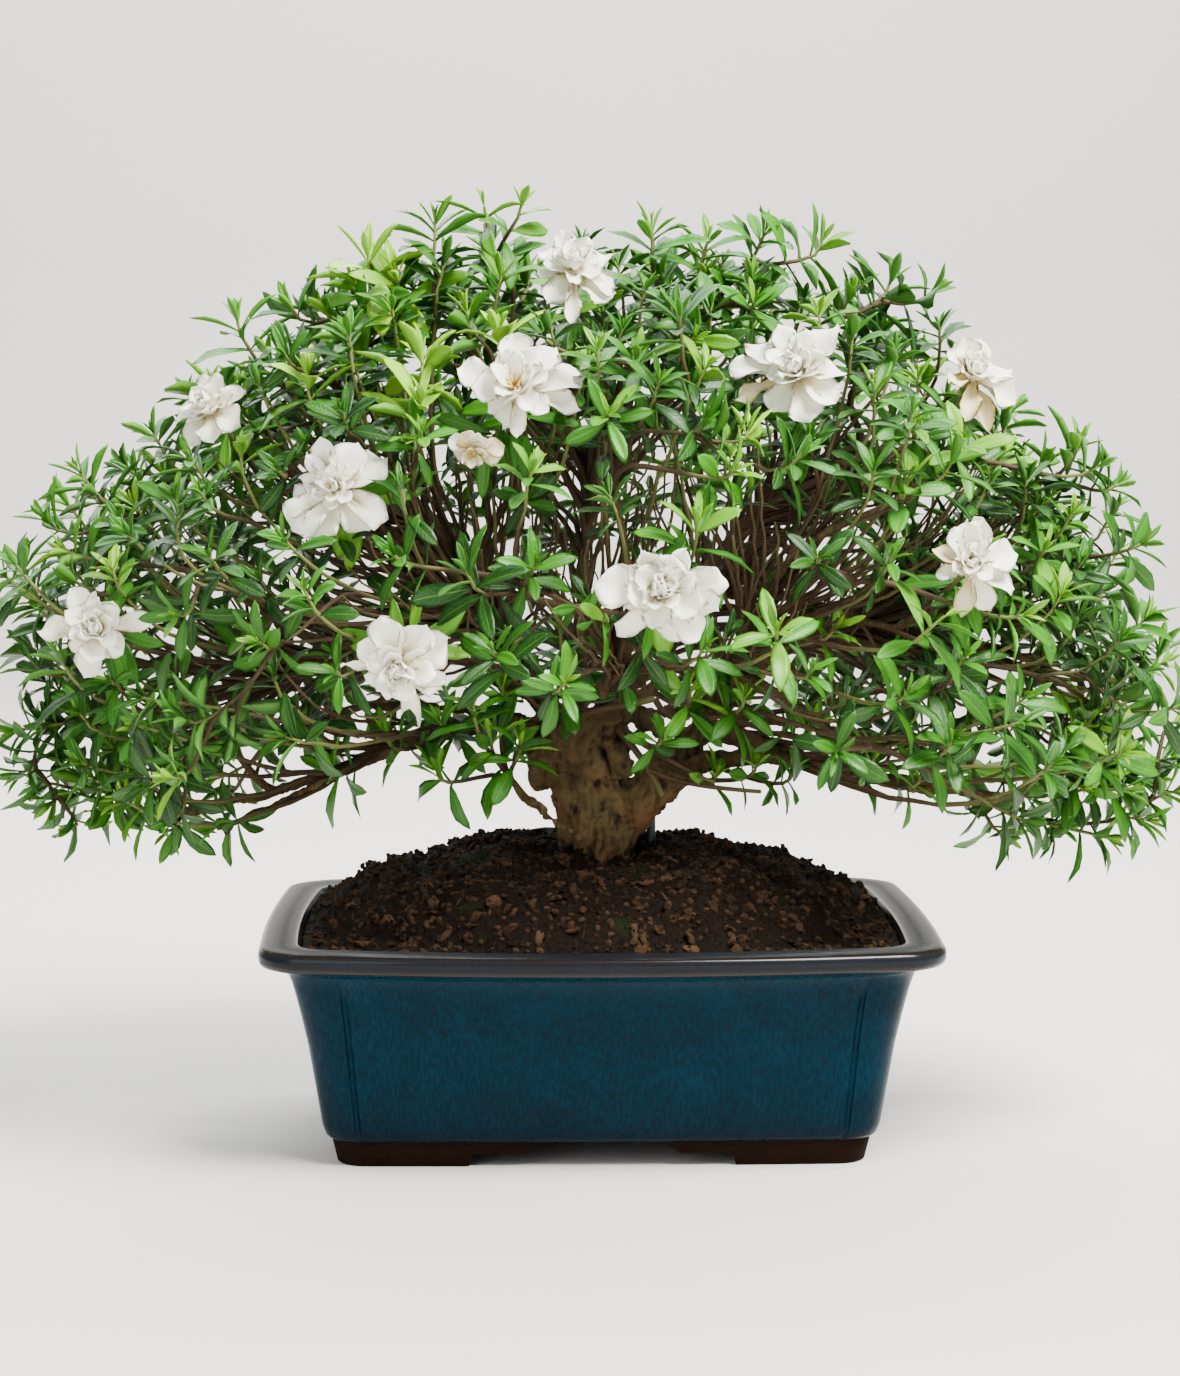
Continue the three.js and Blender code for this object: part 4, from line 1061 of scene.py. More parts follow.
def soil_mesh():
    """The mound, closed down to the pot's floor, with loose lumps on top."""
    build = Build()
    rings = [build.ring(pot_ring(z, half, 0.4, inside=True)) for z, half in SOIL_SIDES]
    build.fan(rings[0], UP * SOIL_SIDES[0][0], flip=True)
    edge = [build.points[k] for k in rings[-1]]
    steps = 34
    for step in range(1, steps):
        share = 1 - step / steps
        ring = []
        for p in edge:
            x, y = p.x * share, p.y * share
            loose = noise.fractal(Vector((x, y, 3)) / 11, 0.7, 2.1, 5) * 5.2 * min(1, 9 * (1 - share))
            ring.append(Vector((x, y, soil_height(x, y) + loose)))
        rings.append(build.ring(ring, tint=1.0))
    build.bands(rings)
    build.fan(rings[-1], UP * soil_height(0, 0), tint=1.0)
    mesh = build.mesh("soil_bed")
    places = np.array([v.co for v in mesh.vertices])
    clear = (np.hypot(places[:, 0] - 0.001, places[:, 1]) > 0.0175) & (places[:, 2] > 0.1045)
    set_floats(mesh, "loose", (clear * np.array(build.tints)).tolist())
    drop_layers(mesh, "tint")
    set_floats(mesh, "tint", [0.1] * len(mesh.vertices))
    return mesh


def crumb_shape(name, seed, stretch, flatness, cuts):
    """An angular crumb or splinter about 1 unit long."""
    rng = random.Random(seed)
    work = bmesh.new()
    bmesh.ops.create_icosphere(work, subdivisions=1, radius=0.5)
    for vertex in work.verts:
        vertex.co.x *= rng.uniform(0.75, 1.1)
        vertex.co.y *= stretch * rng.uniform(0.7, 1.15)
        vertex.co.z *= flatness * rng.uniform(0.65, 1.2)
        if cuts and vertex.co.x > 0.2:
            vertex.co.x = 0.2 + (vertex.co.x - 0.2) * 0.3
    return bpy.data.objects.new(name, mesh_from(name, work))


def shape_collection(name, shapes):
    """A collection that is in no scene and only lends its shapes to a node tree."""
    collection = bpy.data.collections.new(name)
    for shape in shapes:
        collection.objects.link(shape)
    return collection


def drop_shapes(collection):
    for shape in list(collection.objects):
        bpy.data.objects.remove(shape)
    bpy.data.collections.remove(collection)


def scatter_tree():
    """Geometry nodes that scatter shapes over the loose parts of a surface and keep the surface."""
    graph, given, result = new_group(
        "scatter_crumbs", "GeometryNodeTree",
        {"Geometry": ("Geometry", None), "Shapes": ("Collection", None), "Density": ("Float", 1000.0),
         "Least Size": ("Float", 0.002), "Most Size": ("Float", 0.005), "Tone": ("Float", 0.5),
         "Seed": ("Int", 0), "Material": ("Material", None)},
        {"Geometry": "Geometry"})

    def chance(kind, sockets, least, most):
        """A random value between two for each shape."""
        node = graph.add("FunctionNodeRandomValue", {"Seed": given["Seed"]}, data_type=kind)
        graph.put(node.inputs[sockets], least)
        graph.put(node.inputs[sockets + 1], most)
        return node.outputs[sockets // 2]

    points = graph.add("GeometryNodeDistributePointsOnFaces", {
        "Mesh": given["Geometry"], "Seed": given["Seed"],
        "Density": graph.times(given["Density"], graph.stored("loose", "FLOAT"))}, distribute_method="RANDOM")
    spin = chance("FLOAT_VECTOR", 0, (-0.9, -0.9, 0), (0.9, 0.9, math.tau))
    turn = graph.made("FunctionNodeEulerToRotation", {"Euler": spin})
    laid = graph.made("FunctionNodeRotateRotation", {
        "Rotation": points.outputs["Rotation"], "Rotate By": turn}, rotation_space="LOCAL")
    placed = graph.placed(points.outputs["Points"], given["Shapes"], {
        "Rotation": laid, "Scale": chance("FLOAT", 2, given["Least Size"], given["Most Size"])})
    tinted = graph.made("GeometryNodeStoreNamedAttribute", {
        "Geometry": placed, "Name": "tint", "Value": chance("FLOAT", 2, None, given["Tone"])},
        data_type="FLOAT", domain="INSTANCE")
    real = graph.real(graph.joined(tinted, given["Geometry"]))
    graph.put(result["Geometry"], graph.dressed(real, given["Material"]))
    return graph.tree


def with_tree(obj, tree, values):
    """Puts a node tree on an object and sets its named inputs."""
    change = obj.modifiers.new(tree.name, "NODES")
    change.node_group = tree
    for item in tree.interface.items_tree:
        if item.in_out == "INPUT" and item.name in values:
            change[item.identifier] = values[item.name]


class GARDENIA_OT_soil(bpy.types.Operator):
    """Makes the mounded soil with its crumbs of peat and chips of bark"""
    bl_idname = "gardenia.soil"
    bl_label = "Soil and bark chips"

    def execute(self, context):
        soil = context.scene.gardenia_soil
        finish = soil_finish(soil)
        bed = add_object("soil_rough", soil_mesh())
        crumbs = shape_collection("crumbs", [
            crumb_shape(f"crumb_{k}", k, 0.85, 0.75, False) for k in range(5)])
        chips = shape_collection("chips", [
            *[crumb_shape(f"chip_{k}", 40 + k, 0.36 + 0.12 * k, 0.24, True) for k in range(4)],
            *[crumb_shape(f"fibre_{k}", 60 + k, 0.12, 0.1, False) for k in range(2)]])
        tree = scatter_tree()
        with_tree(bed, tree, {"Shapes": chips, "Density": soil.chips, "Least Size": 0.003, "Most Size": 0.013,
                              "Tone": 0.97, "Seed": soil.seed + 1, "Material": finish})
        chipped = add_object("soil_chipped", baked_mesh(bed, "soil_chipped"))
        with_tree(chipped, tree, {"Shapes": crumbs, "Density": soil.crumbs, "Least Size": 0.001,
                                  "Most Size": 0.0044, "Tone": 0.9, "Seed": soil.seed, "Material": finish})
        mesh = baked_mesh(chipped, "soil_bed")
        drop_layers(mesh, "loose", "blade_map")
        keep_piece("soil_bed", mesh, ["soil"])
        for lent in (crumbs, chips):
            drop_shapes(lent)
        return {"FINISHED"}


# -------- wood

# Burrs and swellings on the trunk: centre and radii.
BURRS = [
    ((-20, -6, 199), (12, 10, 9)), ((-2, -12, 205), (13, 9, 8)), ((-24, 2, 188), (9, 9, 10)),
    ((8, -7, 198), (9, 9, 8)), ((12, -4, 152), (9, 9, 12)), ((-10, -9, 176), (8, 7, 10)),
    ((-14, -6, 150), (7, 8, 12)), ((-4, 10, 190), (16, 12, 12)), ((30, -4, 186), (10, 9, 9)),
    ((-13, -3, 133), (8, 9, 9)), ((17, -2, 134), (7, 8, 8)), ((3, -12, 131), (9, 7, 8)),
    ((2, 12, 132), (10, 8, 9)), ((46, -5, 199), (9, 8, 7)),
]

# Wood that is not drawn as a limb of its own: radius at both ends and centre line.
LESSER_LIMBS = [
    (10, 3, [(14, -5, 158), (33, -9, 175), (52, -11, 187), (84, -14, 191), (122, -15, 185), (168, -15, 172)]),
    (4.5, 2.2, [(-20, -10, 200), (-48, -16, 206), (-90, -20, 199), (-136, -22, 181), (-176, -20, 160)]),
    (4, 2, [(0, -12, 206), (26, -18, 214), (66, -22, 214), (120, -24, 204), (178, -22, 196)]),
    (3.6, 2, [(-22, -12, 204), (-60, -22, 216), (-110, -28, 218), (-166, -28, 204)]),
    (5, 3, [(-27, -8, 176), (-31, -16, 192), (-22, -22, 207), (-2, -22, 214), (22, -18, 224),
            (40, -24, 240)]),
    (4.5, 3, [(12, -14, 182), (8, -22, 198), (-8, -25, 208), (-30, -20, 218), (-52, -26, 232)]),
    (4, 2.5, [(-12, -18, 186), (-6, -24, 200), (8, -22, 212), (18, -26, 232), (24, -34, 252)]),
    (4, 2.5, [(40, -10, 192), (30, -18, 204), (12, -22, 214), (-4, -26, 230), (-12, -36, 250)]),
]
# Ropes of wood that wind up the trunk: where each starts round it, its turn on the way up, its radius.
TRUNK_ROPES = [
    (200, 40, 5.5), (232, -35, 4.5), (262, 50, 6), (288, -30, 4.5), (318, 45, 5), (345, -30, 5),
    (20, 30, 5), (60, -40, 5.5), (100, 40, 5.5), (140, -40, 5), (172, 30, 4.5),
]
LIMB_SHARE_SHOWN = 0.62


def trunk_line(steps):
    """Finer centre points and radii of the trunk."""
    line = SmoothLine([at for at, _ in TRUNK])
    radii = np.interp(np.linspace(0, len(TRUNK) - 1, steps + 1), range(len(TRUNK)), [r for _, r in TRUNK])
    return [line.point(k / steps) for k in range(steps + 1)], radii


def wood_mesh(voxel):
    """Trunk, burrs and limbs melted into one skin, then worked into bark."""
    build = Build()
    line, radii = trunk_line(40)
    rings = []
    for point, radius in zip(line, radii):
        ring = []
        for k in range(36):
            a = math.tau * k / 36
            lobes = 1 + 0.1 * math.sin(3 * a + point.z / 14) + 0.06 * math.sin(5 * a - point.z / 9)
            ring.append(point + flat_way(a) * radius * lobes)
        rings.append(build.ring(ring))
    build.skin(rings)
    shown = [(start * (1 if k == 0 else LIMB_SHARE_SHOWN), end * 0.85, line)
             for k, ((start, end, _), line) in enumerate(zip(LIMBS, LIMB_LINES))]
    shown += [(start, end, SmoothLine(line)) for start, end, line in LESSER_LIMBS]
    for around, turn, thick in TRUNK_ROPES:
        rope = []
        for k, (point, radius) in enumerate(zip(line, radii)):
            a = math.radians(around + turn * math.sin(k / 11))
            rope.append(point + flat_way(a) * (radius * 1.02 - thick * 0.35))
        build.tube(rope[3:-3], [thick * (1 + 0.3 * noise.noise(p / 9)) for p in rope[3:-3]], 10)
    for start, end, line in shown:
        points = [line.point(k / 30) for k in range(31)]
        bent = [p + drift(p / 19) * 2.6 for p in points]
        wobble = [1 + 0.22 * noise.noise(p / 8) for p in points]
        build.tube(bent, [(end + (start - end) * (1 - k / 30) ** 1.9) * wobble[k] for k in range(31)], 12)
    for centre, size in BURRS:
        ball = bmesh.new()
        bmesh.ops.create_icosphere(ball, subdivisions=2, radius=1)
        ball.verts.index_update()
        own = build.ring([v.co * Vector(size) + Vector(centre) for v in ball.verts])
        for face in ball.faces:
            build.face([own[v.index] for v in face.verts])
        ball.free()
    rough = add_object("wood_rough", build.mesh("wood_rough"))
    melt = rough.modifiers.new("melt", "REMESH")
    melt.mode = "VOXEL"
    melt.voxel_size = voxel
    ease = rough.modifiers.new("ease", "SMOOTH")
    ease.factor = 0.5
    ease.iterations = 3
    mesh = baked_mesh(rough, "wood_skin")
    work_bark(mesh)
    return mesh


def work_bark(mesh):
    """Raises ridges and flakes on the skin of the wood, and marks its hollows for painted shade."""
    count = len(mesh.vertices)
    places = np.empty(count * 3, np.float32)
    normals = np.empty(count * 3, np.float32)
    mesh.vertices.foreach_get("co", places)
    mesh.vertices.foreach_get("normal", normals)
    places, normals = places.reshape(-1, 3) / MM, normals.reshape(-1, 3)
    lift = np.empty(count, np.float32)
    for k, p in enumerate(places):
        v = Vector(p.tolist())
        stout = 1.0 if abs(v.x) < 60 and v.z < 225 else 0.45
        lumps = noise.fractal(v / 13, 0.8, 2.0, 3)
        folds = 1 - 2.4 * abs(noise.noise(Vector((v.x / 4.6, v.y / 4.6, v.z / 19))))
        ridge = math.sin(v.z * 1.3 + 6 * noise.noise(v / 10)) * max(0.0, noise.noise(v / 15 + UP))
        flakes = 1 - abs(noise.noise(v / 3.6)) * 2
        lift[k] = stout * (1.6 * lumps + 1.7 * folds + 1.3 * ridge + 0.6 * flakes - 1.3)
    places += normals * lift[:, None]
    mesh.vertices.foreach_set("co", (places * MM).ravel())
    # A mask of painted shade for the low places of the bark.
    hollow = np.clip(0.25 - lift * 0.36, 0, 1)
    set_floats(mesh, "hollow", hollow.tolist())
    shade_smooth(mesh)


class GARDENIA_OT_wood(bpy.types.Operator):
    """Makes the gnarled trunk, its limbs and the branches that carry the sprays"""
    bl_idname = "gardenia.wood"
    bl_label = "Trunk, limbs and branches"

    def execute(self, context):
        wood = context.scene.gardenia_wood
        build = Build()
        for plan in [*FLOWERING, LOW, *DOME]:
            line = branch_line(plan["base"], plan["heading"], 14)
            bent = [p + Vector((noise.noise(p / 23), noise.noise(p / 23 + UP), 0)) * 1.4 for p in line]
            bent[0], bent[-1] = line[0], line[-1]
            radii = [(2.3 - 0.7 * k / 14) * (1 + 0.12 * noise.noise(p / 7)) for k, p in enumerate(line)]
            build.tube(bent, radii, 8)
        branches = build.mesh("branches")
        drop_layers(branches, "blade_map", "tint")
        # The branches get an even, light share of painted shade.
        set_floats(branches, "hollow", [0.35] * len(branches.vertices))
        mesh = joined_mesh("trunk_limbs_and_branches", wood_mesh(wood.voxel), branches)
        mesh.materials.clear()
        keep_piece("trunk_limbs_and_branches", mesh, ["trunk_and_limbs"], [bark_finish(wood)])
        return {"FINISHED"}


class GARDENIA_OT_stake(bpy.types.Operator):
    """Makes the dark stake that props the right-hand limb"""
    bl_idname = "gardenia.stake"
    bl_label = "Prop stake"

    def execute(self, context):
        low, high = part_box("prop_stake")
        centre = (low + high) / 2 / MM
        build = Build()
        foot, top = low.z / MM, high.z / MM
        heights = [foot, foot + 0.6, *[foot + k * 8 for k in range(1, 8)], top - 0.6, top]
        line = [Vector((centre.x, centre.y, z)) for z in heights]
        radii = [1.7, 2.2] + [2.25 + 0.06 * (-1) ** k for k in range(7)] + [2.2, 1.8]
        build.tube(line, radii, 20)
        mesh = build.mesh("stake_of_the_limb")
        keep_piece("stake_of_the_limb", mesh, ["prop_stake"],
                   [plain_finish("dark_stake", srgb("16302f"), 0.42, 120.0, 0.25)])
        mesh.set_sharp_from_angle(angle=math.radians(50))
        return {"FINISHED"}


# -------- leaves and twigs

# Each kind of leaf: half widths at the shares along it, its fold and curl in degrees, its wave.
LEAF_KINDS = [
    ([0.014, 0.032, 0.095, 0.142, 0.14, 0.08], 20, 26, 0.012),
    ([0.014, 0.036, 0.105, 0.155, 0.15, 0.085], 16, 48, 0.026),
    ([0.014, 0.03, 0.078, 0.118, 0.118, 0.066], 26, 12, 0.006),
    ([0.014, 0.036, 0.11, 0.17, 0.175, 0.11], 14, 30, 0.022),
]
LEAF_SHARES = [0, 0.1, 0.27, 0.48, 0.7, 0.88]
LEAF_ACROSS = [-1, -0.5, 0, 0.5, 1]
# Pairs of leaves back from the end of a shoot: distance, share of full size, lift, chance of each.
LEAF_PAIRS = [
    (0, 0.3, 80, 1), (1.2, 0.46, 68, 1), (3, 0.66, 56, 1), (6, 0.88, 44, 1), (10, 1.02, 31, 1),
    (15.5, 1.04, 20, 0.96), (22, 1.0, 12, 0.85), (30, 0.92, 5, 0.6), (39, 0.85, 0, 0.4),
]
PAIRS_SIZE = 34
YOUNG_PAIRS = 3


def grow_blade(build, frames, shares, widths, steps_across, fold, wave, thickness, tint):
    """A closed blade: an upper and an under side that meet at the edges and in the tip."""

    def place(share, across, half_width):
        centre, _, face, side = frames(share)
        bow = abs(across) * half_width * math.sin(fold)
        return centre + side * (half_width * across * math.cos(fold)) + face * (bow + wave(share, across))

    over, under = [], []
    for share, half in zip(shares, widths):
        row = [place(share, across, half) for across in steps_across]
        face = frames(share)[2]
        beneath = steps_across[2:-2:2]
        low = [place(share, across, half) - face * thickness * math.sqrt(1 - across * across)
               for across in beneath]
        tops = build.ring(row, [(0.5 + 0.499 * a, share) for a in steps_across], tint)
        lows = build.ring(low, [(1.5 + 0.499 * a, share) for a in beneath], tint)
        over.append(tops)
        under.append([tops[0], *lows, tops[-1]])
    tip = build.ring([place(1, 0, 0)], [(0.5, 1)], tint)[0]
    for k in range(len(shares) - 1):
        for j in range(len(over[0]) - 1):
            build.face([over[k][j], over[k + 1][j], over[k + 1][j + 1], over[k][j + 1]])
        for j in range(len(under[0]) - 1):
            build.face([under[k][j], under[k][j + 1], under[k + 1][j + 1], under[k + 1][j]])
    for j in range(len(over[0]) - 1):
        build.face([over[-1][j], tip, over[-1][j + 1]])
    for j in range(len(under[0]) - 1):
        build.face([under[-1][j], under[-1][j + 1], tip])
    build.face([*over[0], *under[0][-2:0:-1]])


def leaf_shape(name, widths, fold, curl, wave):
    """A leaf 1 unit long that starts along +X with its face up, and curls down."""
    bend = math.radians(curl)

    def frames(share):
        sine, cosine = math.sin(bend * share), math.cos(bend * share)
        place = Vector((sine, 0, cosine - 1)) / bend
        return place, Vector((cosine, 0, -sine)), Vector((sine, 0, cosine)), Vector((0, 1, 0))

    def ripple(share, across):
        return wave * math.sin(13 * share) * across ** 2

    build = Build()
    grow_blade(build, frames, LEAF_SHARES, widths, LEAF_ACROSS, math.radians(fold), ripple, 0.015, 0.0)
    build.points = [p / MM for p in build.points]
    mesh = build.mesh(name)
    drop_layers(mesh, "tint")
    return bpy.data.objects.new(name, mesh)


def sprays_tree():
    """Geometry nodes that skin the twigs along their lines and set a leaf on each leaf point."""
    graph, given, result = new_group(
        "grow_sprays", "GeometryNodeTree",
        {"Geometry": ("Geometry", None), "Leaf Shapes": ("Collection", None), "Twig Sides": ("Int", 5),
         "Leaf Scale": ("Float", 1.0), "Twig Material": ("Material", None),
         "Leaf Material": ("Material", None)},
        {"Geometry": "Geometry"})

    split = graph.add("GeometryNodeSeparateGeometry", {
        "Geometry": given["Geometry"], "Selection": graph.stored("is_leaf", "BOOLEAN")}, domain="POINT")
    lines = graph.made("GeometryNodeMeshToCurve", {"Mesh": split.outputs["Inverted"]})
    ring = graph.made("GeometryNodeCurvePrimitiveCircle", {
        "Resolution": given["Twig Sides"], "Radius": 1.0}, mode="RADIUS")
    twigs = graph.made("GeometryNodeCurveToMesh", {
        "Curve": lines, "Profile Curve": ring, "Scale": graph.stored("twig_radius", "FLOAT"),
        "Fill Caps": True})
    soft = graph.made("GeometryNodeSetShadeSmooth", {"Geometry": twigs})
    turn = graph.made("FunctionNodeEulerToRotation", {"Euler": graph.stored("leaf_turn", "FLOAT_VECTOR")})
    leaves = graph.placed(split.outputs["Selection"], given["Leaf Shapes"], {
        "Instance Index": graph.stored("leaf_kind", "INT"), "Rotation": turn,
        "Scale": graph.times(graph.stored("leaf_size", "FLOAT"), given["Leaf Scale"])})
    leafed = graph.dressed(graph.real(leaves), given["Leaf Material"])
    graph.put(result["Geometry"], graph.joined(leafed, graph.dressed(soft, given["Twig Material"])))
    return graph.tree


# How far the crown's shoulders are lowered and its right-hand side is taken in.
SHOULDER_DROP = 30
RIGHT_TAKEN_IN = 30
# How far leaves may reach past the drawn sprays, and how much room they leave round a bloom.
LEAF_OVERREACH = 15
BLOOM_CLEARANCE = 0.92
BLOOM_SIGHT = 75
# Shares of the shoots that end on the dome, and of those that stand out of it.
OUTER_SHOOTS = 0.66
LONG_SHOOTS = 0.16
# How much a twig avoids turning, the share of twigs that start on the inner wood, the number of twigs
# without leaves, and the middle of the shoots that are young and large.
TWIG_TURNING_COST = 1.6
LONG_TWIG_CHANCE = 0.6
BARE_TWIGS = 430
LARGE_YOUNG_SHOOTS = Vector((-72, -105, 392))


def hides_bloom(point, share=1.0, room=0.0):
    """Whether something at a point would be in a bloom or in front of it."""
    for at, facing, radius, *_ in BLOOMS:
        reach = radius * share + room
        away = point - Vector(at)
        ahead = away.dot(Vector(facing).normalized())
        aside = math.sqrt(max(away.length_squared - ahead ** 2, 0))
        if away.length < reach or (0 < ahead < BLOOM_SIGHT and aside < reach * 0.88):
            return True
        if -BLOOM_SIGHT < away.y < 0 and math.hypot(away.x, away.z) < reach * 0.82:
            return True
    return False


def leaf_fits(root, tip):
    """Whether a leaf stays out of the blooms, and close to the drawn crown."""
    low, high = CAD_BOX
    for k in range(3):
        if not low[k] / MM - LEAF_OVERREACH < tip[k] < high[k] / MM + LEAF_OVERREACH:
            return False
    return not (hides_bloom(tip, BLOOM_CLEARANCE) or hides_bloom(root.lerp(tip, 0.5), BLOOM_CLEARANCE))


def clear_of_blooms(line):
    return not any(hides_bloom(point, 0.9) for point in line)


class Spray:
    """The twigs and leaf places of one spray, in millimetres."""

    def __init__(self):
        self.twigs = []
        self.leaves = []

    def leaf(self, root, out, up, lift, roll, size, kind, age):
        """Adds a leaf that grows out from a stem, lifted towards the stem's way up."""
        along, face = raised(out, up, math.radians(lift))
        if leaf_fits(root, root + along * size):
            face = Quaternion(along, math.radians(roll)) @ face
            self.leaves.append((root, turn_of(along, face), size, kind, held(age)))

    def mesh(self, name):
        points, edges, radius, tint = [], [], [], []
        for line, start, end, green in self.twigs:
            first, last = len(points), len(line) - 1
            for k, point in enumerate(line):
                points.append(point * MM)
                radius.append((start + (end - start) * k / last) * MM)
                tint.append(green * max(0.0, 2.2 * k / last - 1.2))
            edges.extend((first + k, first + k + 1) for k in range(last))
        stems, count = len(points), len(self.leaves)
        points.extend(root * MM for root, *_ in self.leaves)
        mesh = bpy.data.meshes.new(name)
        mesh.from_pydata(points, edges, [])
        layers = {
            "twig_radius": ("FLOAT", radius + [0.0] * count),
            "leaf_size": ("FLOAT", [0.0] * stems + [leaf[2] * MM for leaf in self.leaves]),
            "tint": ("FLOAT", tint + [leaf[4] for leaf in self.leaves]),
            "is_leaf": ("BOOLEAN", [False] * stems + [True] * count),
            "leaf_kind": ("INT", [0] * stems + [leaf[3] for leaf in self.leaves]),
            "leaf_turn": ("FLOAT_VECTOR", [0.0] * (3 * stems) + [v for leaf in self.leaves for v in leaf[1]]),
        }
        for label, (kind, values) in layers.items():
            layer = mesh.attributes.new(label, kind, "POINT")
            layer.data.foreach_set("vector" if kind == "FLOAT_VECTOR" else "value", values)
        return mesh


def back_along(line, distance):
    """The point a distance back from the end of a line, and the way the line runs there."""
    for k in range(len(line) - 1, 0, -1):
        step = line[k] - line[k - 1]
        if distance <= step.length or k == 1:
            way = step.normalized()
            return line[k] - way * min(distance, step.length), way
        distance -= step.length


def grow_shoot(spray, line, size, age, rng, pairs, crowding=1.0):
    """Opposite pairs of leaves back from the end of a twig, each square to the last, old ones lowest."""
    spin = rng.uniform(0, math.tau)
    side = None
    for k, (distance, share, lift, chance) in enumerate(LEAF_PAIRS[:pairs]):
        root, along = back_along(line, distance * size / PAIRS_SIZE * crowding)
        side, other = square_to(along, side)
        spin += math.pi / 2 + rng.uniform(-0.25, 0.25)
        for way in (0, math.pi):
            if rng.random() > chance:
                continue
            angle = spin + way + rng.uniform(-0.2, 0.2)
            out = out_at(side, other, angle)
            kind = 2 if k < YOUNG_PAIRS else rng.choice((0, 0, 1, 3))
            spray.leaf(root, out, along, lift + rng.uniform(-13, 13), rng.uniform(-30, 30),
                       size * share * rng.uniform(0.82, 1.14), kind,
                       age + 0.3 - 0.085 * k + rng.uniform(-0.13, 0.13))


class WoodPlaces:
    """The places on the wood that a twig may grow from, with the way the wood runs there."""

    def __init__(self):
        self.points, self.ways, self.inner = [], [], []
        for line in LIMB_LINES[:-1]:
            shares = np.linspace(0.14, 1, 16)
            self.add([line.point(s) for s in shares], 0)
            self.inner[-len(shares):] = [share < 0.62 for share in shares]
        for plan in [*DOME, *FLOWERING]:
            self.add(branch_line(plan["base"], plan["heading"], 10), 3)

    def add(self, line, first):
        for k in range(first, len(line)):
            self.points.append(line[k])
            self.ways.append(way_at(line, k))
            self.inner.append(False)

    def best(self, tip, inner_only, rng):
        """The place with the least length and turning on the way to a tip."""
        points, ways = np.array(self.points), np.array(self.ways)
        reach = np.array(tip) - points
        far = np.linalg.norm(reach, axis=1)
        turning = 1 - (reach * ways).sum(axis=1) / np.maximum(far, 0.1)
        cost = (far + 8) * (1 + TWIG_TURNING_COST * turning)
        if inner_only:
            cost = np.where(self.inner, cost, 1e9)
        k = int(np.argmin(cost * (1 + 0.12 * np.sin(np.arange(len(cost)) * rng.uniform(1, 9)))))
        return self.points[k], self.ways[k]

    def twig(self, tip, way, rng, inner_only=False):
        """The line of a twig that grows to a tip and ends in a given way."""
        root, along = self.best(tip, inner_only, rng)
        reach = (tip - root).length
        steps = max(5, min(16, round(reach / 9)))
        sag = loose_way(rng, 0.2) * reach * 0.06
        middle = (root + along * reach * 0.3 + sag, tip - way * reach * 0.34 + sag)
        line = bezier(root - along, *middle, tip, steps)
        for k in range(1, steps):
            line[k] += drift(line[k] / 13, UP * 9) * 1.9
        self.add(line[:-2], 2)
        return line


def eased(point):
    """Lowers the crown's shoulders and takes in its right-hand side above the lowest limb."""
    drop = SHOULDER_DROP * held((abs(point.x) - 90) / 140) ** 1.4
    taken_in = RIGHT_TAKEN_IN * max(0.0, 1 - ((point.z - 300) / 75) ** 2) * held((point.x - 150) / 100)
    return point - UP * drop * held((point.z - CROWN_CENTRE_Z) / 60) - Vector((taken_in, 0, 0))


def room_at(from_top, around):
    """How much wider apart shoots stand in the open bands at the front and the back."""
    band = max(0.0, 1 - ((from_top - 84) / 26) ** 2)
    front = max(0.0, 1 - (from_front(around) / 80) ** 4)
    rear = max(0.0, 1 - ((180 - from_front(around)) / 80) ** 4)
    return 1 + band * (0.45 * front + 0.4 * rear) + 0.12 * rear


def lowest_at(around):
    """How far down from the top the leaves grow."""
    return between(from_front(around), [15, 40, 75, 120, 160, 180], [97, 103, 114, 114, 104, 102])


def way_of_tip(tip, rng, rising=0.75):
    """Shoots turn up towards the light, each a little its own way."""
    loose = loose_way(rng) * 0.36
    upwards = UP * (rising if tip.z > CROWN_CENTRE_Z - 30 else rising * 0.4)
    return (outward(tip) * 0.6 + upwards + loose).normalized()


def dome_tips(leaf, rng):
    """The ends of the shoots, spread over the dome, with some deeper inside: (tip, spray, depth)."""
    spacing = leaf.spacing / MM
    tips = [(tip, k, "drawn") for k, plan in enumerate(DOME) for tip in plan["tips"]]
    centres = np.array([sum(plan["tips"], Vector()) / 2 for plan in DOME])
    taken = [tuple(tip) for tip, _, _ in tips]
    for _ in range(leaf.tries):
        from_top = math.degrees(math.acos(1 - rng.random() * (1 - math.cos(math.radians(115)))))
        around = rng.uniform(0, 360)
        depth = "outer" if rng.random() < OUTER_SHOOTS else "inner"
        spot = crown_point(from_top, around)
        share = rng.uniform(0.93, 1.02) + noise.noise(spot / 55) * 0.06
        if depth == "inner":
            share = rng.uniform(0.6, 0.88)
        elif rng.random() < LONG_SHOOTS:
            share += rng.uniform(0.03, 0.07)
        tip = eased(crown_point(from_top, around, share))
        if from_top > lowest_at(around) or hides_bloom(tip, 1.0, 7):
            continue
        clumped = 1 + 0.7 * max(0.0, noise.noise(spot / 34 + UP * 3))
        near = spacing * room_at(from_top, around) * clumped * (1 if depth == "outer" else 1.35)
        if np.linalg.norm(np.array(taken) - np.array(tip), axis=1).min() < near:
            continue
        owner = int(np.linalg.norm(centres - np.array(tip), axis=1).argmin())
        tips.append((tip, owner, depth))
        taken.append(tuple(tip))
    return tips


def lend_leaves():
    return shape_collection("leaf_shapes", [
        leaf_shape(f"leaf_{k}", *kind) for k, kind in enumerate(LEAF_KINDS)])


def finish_of(name, make, settings):
    """A material that several pieces share, made the first time it is asked for."""
    return bpy.data.materials.get(name) or make(settings)


